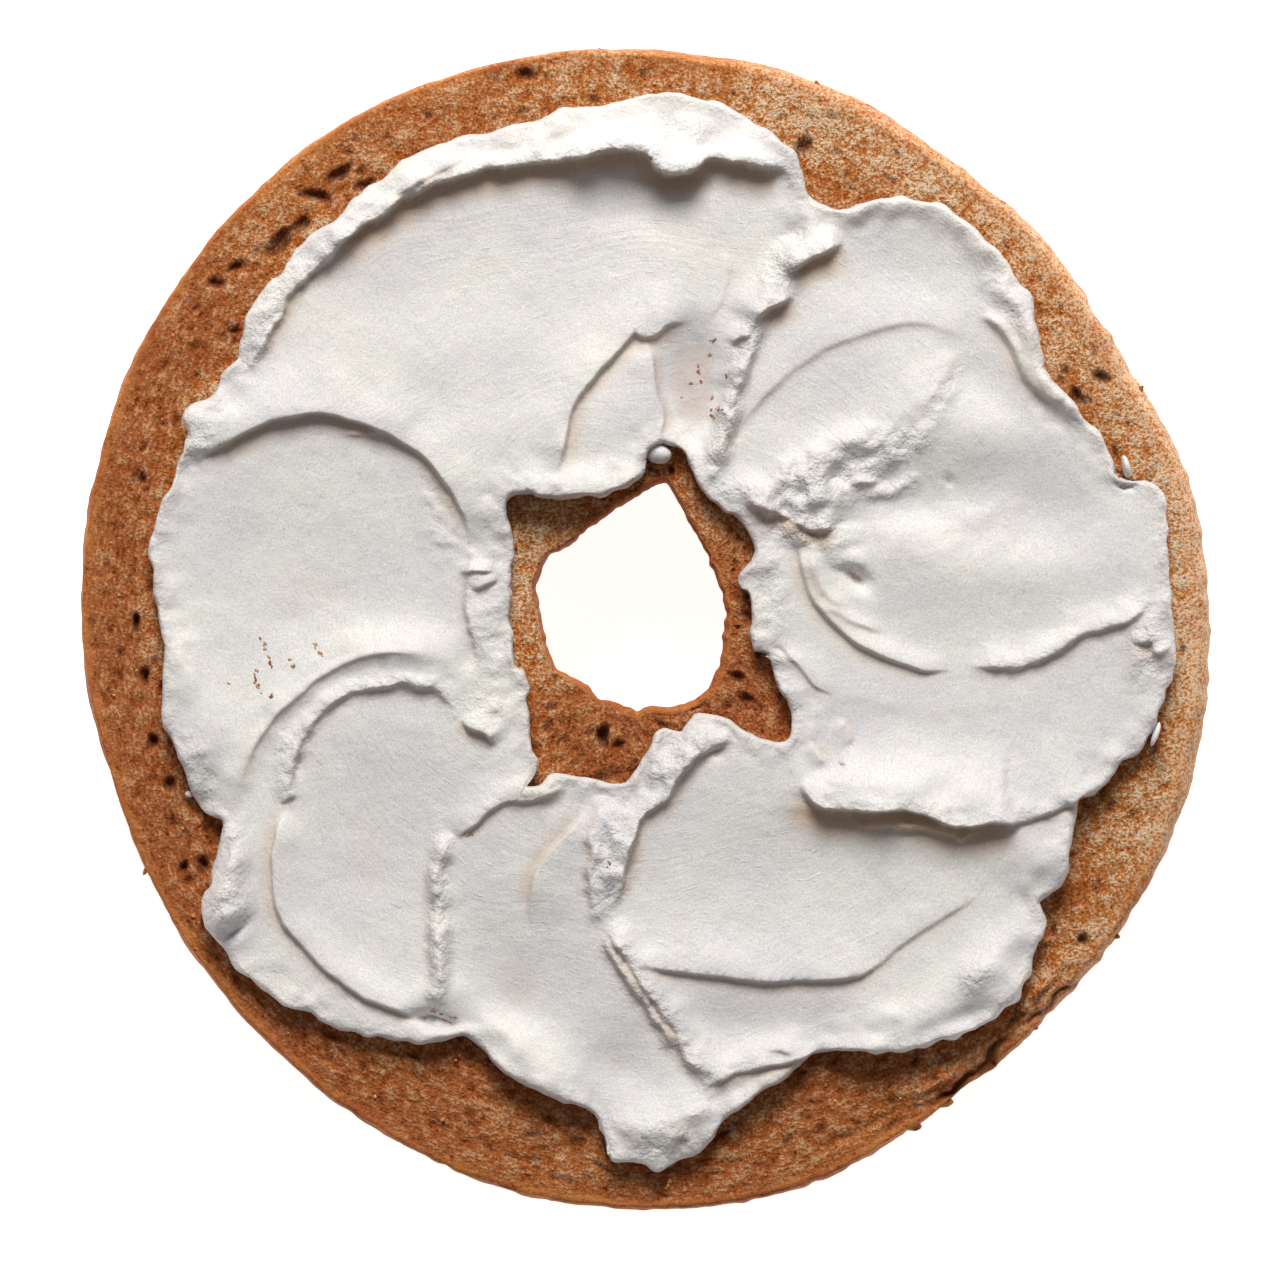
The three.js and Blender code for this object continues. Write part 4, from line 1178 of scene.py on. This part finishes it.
        lip = np.clip(t / self.lip_share, 0, 1) * math.pi / 2
        down = np.clip((t - self.lip_share) / (1 - self.lip_share), 0, 1) * math.pi / 2
        upper = t < self.lip_share
        wall_r = np.where(upper, hole + self.hole_lip * (1 - np.sin(lip)),
                          hole + self.inner_curl * (1 - np.clip(np.cos(down), 0, 1) ** power))
        wall_z = np.where(upper, self.height - self.hole_drop * (1 - np.cos(lip)),
                          (self.height - self.hole_drop) * (1 - np.sin(down) ** power))
        up = (1 - np.clip(t / self.crust_bulge, 0, 1)) * math.pi / 2
        over = np.clip((t - self.crust_bulge) / (1 - self.crust_bulge), 0, 1) * math.pi / 2
        side = t < self.crust_bulge
        rim_r = np.where(side, rim - self.outer_curl * (1 - np.clip(np.cos(up), 0, 1) ** power),
                         rim - inset * (1 - np.cos(over)))
        rim_z = np.where(side, self.widest_height * (1 - np.sin(up) ** power),
                         self.widest_height + (self.height - self.widest_height) * np.sin(over))
        span = outer - outer_band - inner - inner_band
        base_r = hole + self.inner_curl + (rim - self.outer_curl - hole - self.inner_curl) * t

        flat, none, top = np.ones_like(t), np.zeros_like(t), np.full_like(t, self.height)
        r = np.select(which, [outer - outer_band * t, outer - outer_band - span * t,
                              inner + inner_band * (1 - t), wall_r, base_r, rim_r])
        z = np.select(which, [top, top, top, wall_z, none, rim_z])
        nr = np.select(which, [none, none, none, np.where(upper, -np.sin(lip), -np.cos(down)), none,
                               np.where(side, np.cos(up), np.cos(over))])
        nz = np.select(which, [flat, flat, flat, np.where(upper, np.cos(lip), -np.sin(down)), -flat,
                               np.where(side, -np.sin(up), np.sin(over))])
        # The crust's brown reaches a little way over the rim, and less over the hole's edge.
        rim_crust = 1 - 0.8 * smooth(outer_band * t / 1.1) - 0.2 * smooth(outer_band * t / 3.4)
        crust = np.select(which, [rim_crust, none, smooth((t - 0.93) / 0.07), flat, flat, flat])
        return r, z, nr, nz, crust

    def pores(self, x: Grid, y: Grid, theta: Grid) -> Grid:
        """Gives the depth in mm of the open pores of the cut face at each place.

        Args:
            x: places in mm.
            y: places in mm.
            theta: angle of each place.

        Returns:
            Depth in mm.
        """
        rng = np.random.default_rng(5)
        x, y = x + 0.3 * noise(x, y, 1.1, 41), y + 0.3 * noise(x, y, 1.1, 42)
        pits = [(px, py, long, wide, math.radians(turn)) for px, py, long, wide, turn in self.big_pores]
        for low, high, count in self.small_pores:
            for _ in range(count):
                away, angle = rng.uniform(low, high), rng.uniform(-math.pi, math.pi)
                wide = 0.13 + 0.2 * rng.random() ** 4
                low_side = float(smooth(np.array(-1.5 * math.sin(angle) - 0.3)))
                long = wide * rng.uniform(1.0, 2.0) * (1.0 + 0.9 * low_side)
                pits.append((away * math.cos(angle), away * math.sin(angle), long, wide,
                             angle + math.pi / 2 + rng.normal(0.0, 0.4)))
        depth = np.zeros_like(x)
        order = np.argsort(theta)
        sorted_theta = theta[order]
        for px, py, long, wide, turn in pits:
            angle, away = math.atan2(py, px), math.hypot(px, py)
            reach = 2.0 * max(long, wide) / away
            spans = [np.searchsorted(sorted_theta, [base - reach, base + reach])
                     for base in (angle, angle - 2 * math.pi, angle + 2 * math.pi)]
            near = np.concatenate([order[first:last] for first, last in spans])
            dx, dy = x[near] - px, y[near] - py
            u = (dx * math.cos(turn) + dy * math.sin(turn)) / long
            v = (dy * math.cos(turn) - dx * math.sin(turn)) / wide
            pit = (1.3 if wide < 0.35 else 2.2) * wide * np.exp(-((u * u + v * v) ** 1.5))
            depth[near] = np.maximum(depth[near], pit)
        return depth

    def toast(self, x: Grid, y: Grid, r: Grid, z: Grid) -> Grid:
        """Says how dark the bread is at each place: its toasting plus painted shade.

        Args:
            x: places in mm, before the relief.
            y: places in mm, before the relief.
            r: radius in mm.
            z: height in mm.

        Returns:
            A share from 0, pale, to 1, dark: palest at the right of the rim, darkest low down.
        """
        theta = np.arctan2(y, x)
        facing = np.cos(theta - 0.05) * np.abs(np.cos(theta - 0.05)) ** 0.6
        # Paler at the right of the rim and darker at its left. On the right the pale fades towards the cream:
        # partly moist crumb, partly painted shade of the cream. Painted shade also makes the outer band lighter
        # towards the top of the frame and darker towards the bottom.
        share = 0.52 - 0.40 * facing * smooth((r - 43.5) / 8) - 0.14 * np.sin(theta) * smooth((r - 30) / 10)
        share += 0.14 * noise(x, y, 5.0, 26) + 0.25 * smooth((12.0 - z) / 12.0)
        round_hole = 0.55 * np.cos(theta) - 0.15 + 1.1 * np.clip(-np.sin(theta), 0, 1)
        return np.clip(share + 0.34 * smooth((20 - r) / 6) * round_hole, 0, 1)

    def build(self) -> bpy.types.Object:
        """Makes the bread's mesh.

        Returns:
            The piece.
        """
        ring = RingMesh(self.around, sum(self.rows.values()))
        theta, share = ring.places()
        r, z, nr, nz, crust = self.section(theta, share)
        x, y = r * np.cos(theta), r * np.sin(theta)
        cut = np.sqrt(1 - crust) * (z > self.height - 0.5)
        pits = self.pores(x, y, theta) * cut
        grain = 0.5 * noise(x, y, 0.75, 21) + 0.5 * noise(x, y, 1.2, 22)
        rough = 0.15 * grain + 0.12 * noise(x, y, 5.0, 23)
        sx, sy = x + 0.8 * z, y - 0.6 * z
        side = 0.10 * noise(sx, sy, 2.2, 24) + 0.28 * noise(sx, sy, 8.0, 25) + 0.05 * noise(sx, sy, 0.9, 27)
        push = cut * (rough - 0.2) + (1 - cut) * side * (np.abs(nz) < 0.98)
        dip = sum(ridge.lay(x, y)[0] for ridge in self.ridges) * (z > self.widest_height)
        r = r + push * nr
        z = np.where(nz < -0.98, z, np.clip(z + push * nz - pits + dip, 0.0, None))
        # Painted shade: dark in the open pores and down the knife crack.
        pore = np.maximum(smooth(pits / 0.36) * 0.65, 0.7 * smooth(-dip / 1.3))
        return ring.finish("bagel_bread", np.column_stack([r * np.cos(theta), r * np.sin(theta), z]), {
            "crust": crust, "pore": pore, "grain": 0.5 + 0.5 * grain * cut, "toast": self.toast(x, y, r, z)})


@dataclass
class CreamLayer:
    """The spread as a closed ring with a flat underside that rests on the crumb.

    Its underside lies 0.1 mm above the cut face's own height and stays inside the edge by
    undercut mm. The rim carries lumps of rim_lumps mm over a band of rim_width mm.
    """

    relief: CreamRelief
    floor: float = 18.1
    undercut: float = 0.25
    rim_lumps: float = 0.3
    rim_width: float = 2.6
    around: int = 720
    edge_rows: int = 5
    middle_rows: int = 84
    under_rows: int = 4

    def section(self, theta: Grid, share: Grid) -> tuple[Grid, Grid]:
        """Carries each vertex to its radius.

        Args:
            theta: angle in radians.
            share: share round the section, outer edge first.

        Returns:
            Radius in mm, and whether it is on the top.
        """
        inner, outer = self.relief.edges(theta)
        turns = np.linspace(-0.24, 0.24, 9)
        calm = [np.mean([self.relief.edges(theta + turn)[side] for turn in turns], axis=0) for side in (0, 1)]
        part, t = stretches(share, [self.edge_rows, self.middle_rows, self.edge_rows, self.under_rows])
        e = self.relief.edge_round
        middle = calm[1] - e - (calm[1] - calm[0] - 2 * e) * t
        middle += (outer - calm[1]) * (1 - t) ** 8 + (inner - calm[0]) * t**8
        r = np.select([part == 0, part == 1, part == 2], [outer - e * t**1.6, middle, inner + e * (1 - t) ** 1.6],
                      inner + self.undercut + (outer - inner - 2 * self.undercut) * t)
        return r, part < 3

    def build(self) -> bpy.types.Object:
        """Makes the cream's mesh.

        Returns:
            The piece.
        """
        ring = RingMesh(self.around, 2 * self.edge_rows + self.middle_rows + self.under_rows)
        theta, share = ring.places()
        r, top = self.section(theta, share)
        ring.refine(self.relief.steep_places(r * np.cos(theta), r * np.sin(theta)) & top, 1)
        theta, share = ring.places()
        r, top = self.section(theta, share)
        x, y = r * np.cos(theta), r * np.sin(theta)
        depth = self.relief.depth(x, y)
        thick, sx, sy, crease = self.relief.lay(x, y)
        ragged = np.exp(-((depth / self.rim_width) ** 2)) * self.rim_lumps
        thick = thick + ragged * (noise(x, y, 1.7, 37) + 0.6 * noise(x, y, 0.9, 38) + 0.15)
        inward = np.clip(depth / self.relief.edge_round, 0, 1)
        upright = self.relief.edge_lip
        lift = thick * (upright + (1 - upright) * np.sqrt(1 - (1 - inward) ** 2))
        z = self.floor + np.where(top, lift, 0.0)
        wobble = (1 - inward) * 0.26
        x = x + np.where(top, sx * inward, 0.0) + wobble * noise(x, y, 1.2, 34)
        y = y + np.where(top, sy * inward, 0.0) + wobble * noise(x, y, 1.2, 35)
        # The second term is painted shade along the rim, where small lumps shade one another.
        thin = np.maximum(smooth((1.15 - thick) / 0.6) * inward * 0.6, 0.22 * np.exp(-((depth / 0.9) ** 2)))
        drag = r + 2.5 * noise(x, y, 8.0, 36)
        crumbly = np.maximum(self.relief.crumbly(x, y), 0.6 * np.exp(-((depth / 1.1) ** 2)))
        # crease carries the painted shade at the foot of each drop; thin carries the bread seen through thin
        # cream plus painted shade along the rim.
        return ring.finish("cream_spread", np.column_stack([x, y, z]), {
            "thin": thin * top, "crease": crease * top * 0.75, "drag": drag, "crumbly": crumbly})


@dataclass
class SmallBits:
    """Small loose pieces that lie about, each kind joined in one mesh.

    A flake is its place and size. A smear line is its middle, length, turn in degrees and number
    of bits. A scrap is its place, its two half sizes and its turn.
    """

    relief: CreamRelief
    bread: BagelHalf
    cream_floor: float = 18.1
    crumb_level: float = 17.86
    flake_levels: Point = (17.8, 16.6)
    scrap_level: float = 18.2
    crumb_count: int = 150
    crumb_sizes: Point = (0.1, 0.24)
    flakes: list[tuple[float, float, float]] = field(default_factory=lambda: [
        (28, -44.3, 1), (25.2, -46.8, 1.1), (43.2, -28.3, 0.7), (-46.2, -22.3, 0.6), (11.4, 51.6, 0.5),
        (-4, 53.2, 0.55), (46, 22.2, 0.6), (35.9, -37, 0.7), (16, 50.4, 0.6), (-34.6, 40.6, 0.4),
        (25.7, -43.2, 0.6), (28.2, -42, 0.5), (30.8, -39.6, 0.45), (33, -37.4, 0.5), (20.4, -47.3, 0.45),
        (-41, 34, 0.35),
    ])
    smear_lines: list[tuple[float, float, float, float, int]] = field(default_factory=lambda: [
        (6.3, 26.6, 0.5, 0, 3), (6.2, 25.1, 0.3, 20, 2), (4.9, 23.8, 1, 100, 4), (4.3, 22.5, 0.5, 10, 2),
        (7.4, 23.1, 0.5, 80, 2), (6.1, 21.1, 0.7, 60, 4), (6.7, 20.2, 1.2, 8, 6), (5, 22.6, 0.7, 0, 3),
        (6.3, 19.6, 0.5, 30, 3), (-35, -1.4, 1.8, 110, 8), (-34.4, -2.9, 1.6, 105, 6),
        (-35.8, -4.6, 1.6, 80, 7), (-35.3, -5.6, 0.9, 120, 4), (-30.3, -1.6, 1, 100, 5),
        (-29.6, -2.4, 0.8, 135, 4), (-32.4, -3.2, 0.9, 135, 4), (-38.2, -5.1, 0.3, 0, 1),
        (-34.2, -6.1, 0.8, 30, 4), (-16.3, -18.9, 0.9, 10, 5), (-3.4, -21.6, 0.7, 80, 4),
        (25.1, 16.4, 0.4, 70, 2), (3.4, 21.2, 0.3, 0, 1), (-18.7, -35.3, 2.6, -16, 9), (43.5, 14.3, 0.6, 80, 3),
    ])
    scraps: list[tuple[float, float, float, float, float]] = field(default_factory=lambda: [
        (1.3, 16.2, 1.2, 1, 4), (44.2, 15, 0.4, 1.1, 12), (46.9, -9.7, 0.3, 1.4, -18),
        (-41.9, -15.2, 0.4, 0.3, 0),
    ])

    def pebble(self, bm: bmesh.types.BMesh, place: tuple[float, float, float], size: tuple[float, float, float],
               turn: float, detail: int, seed: int) -> None:
        """Adds one uneven pebble.

        Args:
            bm: where it goes.
            place: its middle in mm.
            size: its three half sizes in mm.
            turn: its turn about the vertical in degrees.
            detail: subdivisions of the ball it starts from.
            seed: what makes its dents its own.
        """
        rng = np.random.default_rng(seed)
        stand = Matrix.Translation(place) @ Matrix.Rotation(math.radians(turn), 4, "Z")
        made = bmesh.ops.create_icosphere(bm, subdivisions=detail, radius=1.0)["verts"]
        pushes = rng.uniform(0.55, 1.3, 12)
        ways = rng.normal(size=(12, 3))
        ways /= np.linalg.norm(ways, axis=1)[:, None]
        for vertex in made:
            close = np.clip(ways @ np.array(vertex.co), 0, 1) ** 3
            vertex.co *= float((close @ pushes + 0.4) / (close.sum() + 0.4))
        bmesh.ops.scale(bm, vec=size, verts=made)
        bmesh.ops.transform(bm, matrix=stand, verts=made)

    def joined(self, name: str, bm: bmesh.types.BMesh) -> bpy.types.Object:
        """Turns the pebbles from mm to metres and makes one object of them."""
        bmesh.ops.scale(bm, vec=(MM, MM, MM), verts=bm.verts)
        return as_object(name, bm)

    def crumbs(self) -> bpy.types.Object:
        """Scatters crumbs on the bread that shows and sticks larger ones to the rim.

        Returns:
            The piece.
        """
        rng = np.random.default_rng(8)
        bm = bmesh.new()
        small, large = self.crumb_sizes
        angles = rng.uniform(-math.pi, math.pi, self.crumb_count)
        lows, highs = self.relief.edges(angles)[1] + 0.5, self.bread.rim(angles) - 1.8
        for number, (angle, low, high) in enumerate(zip(angles, lows, highs)):
            away = rng.uniform(low, max(low + 0.1, high))
            x, y = away * math.cos(angle), away * math.sin(angle)
            if any(math.hypot(x - px, y - py) < long + 0.3 for px, py, long, _, _ in self.bread.big_pores):
                continue
            size = small + (large - small) * rng.random() ** 3
            self.pebble(bm, (x, y, self.crumb_level + 0.3 * size),
                        (size * rng.uniform(0.8, 1.5), size, size * 0.7), rng.uniform(0, 180), 1, number)
        rims = self.bread.rim(np.array([math.atan2(y, x) for x, y, _ in self.flakes]))
        for number, ((x, y, size), rim) in enumerate(zip(self.flakes, rims)):
            away = math.hypot(x, y)
            pull = min(1.0, (float(rim) - 0.35 * size) / away)
            z = self.flake_levels[0 if away < rim - 1.5 else 1]
            turn = math.degrees(math.atan2(y, x)) + rng.uniform(20, 70)
            self.pebble(bm, (x * pull, y * pull, z), (size, 0.5 * size, 0.32 * size), turn, 1, 300 + number)
        return self.joined("loose_crumbs", bm)

    def smears(self) -> bpy.types.Object:
        """Lays rusty bits in the cream, in short lines, where the knife dragged crumb into it.

        Returns:
            The piece.
        """
        rng = np.random.default_rng(9)
        bits = []
        for x, y, length, turn, count in self.smear_lines:
            way = math.radians(turn)
            for _ in range(count):
                u, v = rng.uniform(-0.5, 0.5) * length, rng.normal(0.0, 0.1)
                bits.append((x + u * math.cos(way) - v * math.sin(way), y + u * math.sin(way) + v * math.cos(way),
                             rng.uniform(0.09, 0.2), turn + rng.uniform(-35, 35)))
        places = np.array(bits)
        tops = self.cream_floor + self.relief.lay(places[:, 0], places[:, 1])[0]
        bm = bmesh.new()
        for number, ((x, y, size, turn), top) in enumerate(zip(bits, tops)):
            self.pebble(bm, (x, y, float(top) - 0.02), (size * 1.4, size * 0.7, 0.09), turn, 2, 500 + number)
        return self.joined("rusty_flecks", bm)

    def cream_scraps(self) -> bpy.types.Object:
        """Makes the scraps of cream that came off the spread.

        Returns:
            The piece.
        """
        bm = bmesh.new()
        for number, (x, y, long, wide, turn) in enumerate(self.scraps):
            self.pebble(bm, (x, y, self.scrap_level + 0.9 * wide), (long, wide, wide), turn, 3, 700 + number)
        piece = self.joined("cream_scraps", bm)
        piece.data.shade_smooth()
        return piece


# Studio --------------------------------------------------------------------------------------


@dataclass
class Studio:
    """Floor, light and camera: one large soft window at the top of the frame.

    Places are metres where they aren't marked as millimetres.
    """

    pixel_mm: float = 0.092
    frame_pixels: float = 1280.0
    centre_pixel: Point = (645.0, 629.0)
    cut_height: float = 18.0
    lens_mm: float = 280.0
    sensor_mm: float = 36.0
    key_elevation: float = 43.0
    key_distance: float = 0.85
    key_side: float = 0.36
    key_watts: float = 7.95
    key_colour: str = "FFFDF7"
    air_colour: str = "EEEFF2"
    air_strength: float = 0.2
    floor_half: float = 2.5
    floor_gap: float = 0.00005

    def camera(self) -> None:
        """Hangs the camera straight above, so that the frame fits the photograph's."""
        data = bpy.data.cameras.new("camera")
        data.lens, data.sensor_width = self.lens_mm, self.sensor_mm
        data.clip_start, data.clip_end = 0.01, 10.0
        frame_width = self.pixel_mm * self.frame_pixels
        distance = frame_width * self.lens_mm / self.sensor_mm
        half = self.frame_pixels / 2
        x = (half - self.centre_pixel[0]) * self.pixel_mm
        y = (self.centre_pixel[1] - half) * self.pixel_mm
        camera = bpy.data.objects.new("camera", data)
        camera.location = (x * MM, y * MM, (self.cut_height + distance) * MM)
        bpy.context.collection.objects.link(camera)
        bpy.context.scene.camera = camera

    def window(self) -> None:
        """Adds the square soft light, which looks at the bagel."""
        data = bpy.data.lights.new("key_window", "AREA")
        data.shape, data.size, data.energy = "SQUARE", self.key_side, self.key_watts
        data.color = linear(self.key_colour)[:3]
        rise = math.radians(self.key_elevation)
        place = Vector((0.0, self.key_distance * math.cos(rise), self.key_distance * math.sin(rise)))
        aim = Vector((0.0, 0.0, 0.015))
        lamp = bpy.data.objects.new("key_window", data)
        lamp.location = place
        lamp.rotation_euler = (aim - place).to_track_quat("-Z", "Y").to_euler()
        bpy.context.collection.objects.link(lamp)

    def build(self) -> bpy.types.Object:
        """Sets up the whole studio.

        Returns:
            The floor.
        """
        scene = bpy.context.scene
        scene.view_settings.view_transform = "Standard"
        world = bpy.data.worlds.new("studio_air")
        world.use_nodes = True
        air = world.node_tree.nodes["Background"].inputs
        air[0].default_value, air[1].default_value = linear(self.air_colour), self.air_strength
        scene.world = world
        self.window()
        bm = bmesh.new()
        bmesh.ops.create_grid(bm, x_segments=1, y_segments=1, size=self.floor_half)
        bmesh.ops.translate(bm, verts=bm.verts, vec=(0, 0, -self.floor_gap))
        return as_object("floor", bm)


def dress(piece: bpy.types.Object, material: bpy.types.Material) -> None:
    """Gives a piece its material and its body.

    Args:
        piece: the piece.
        material: its finish.
    """
    piece.data.materials.append(material)
    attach(piece, "root")
    triangles = sum(len(face.vertices) - 2 for face in piece.data.polygons)
    LOG.info("%s: %d triangles", piece.name, triangles)


def main() -> None:
    """Builds the bagel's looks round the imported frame."""
    logging.basicConfig(level=logging.INFO, format="%(message)s")
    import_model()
    studio = Studio()
    studio.camera()
    relief = CreamRelief()

    half = BagelHalf(relief)
    bread = half.build()
    dress(bread, ToastedBread().make())
    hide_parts("bagel_half")

    cream_finish = SoftCheese().make()
    cream = CreamLayer(relief).build()
    dress(cream, cream_finish)
    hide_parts("cream_cheese")

    bits = SmallBits(relief, half)
    dress(bits.crumbs(), LooseGrain().make())
    dress(bits.smears(), RustyFleck().make())
    dress(bits.cream_scraps(), cream_finish)

    floor = studio.build()
    floor.data.materials.append(StudioPaper().make())


if __name__ == "__main__":
    main()
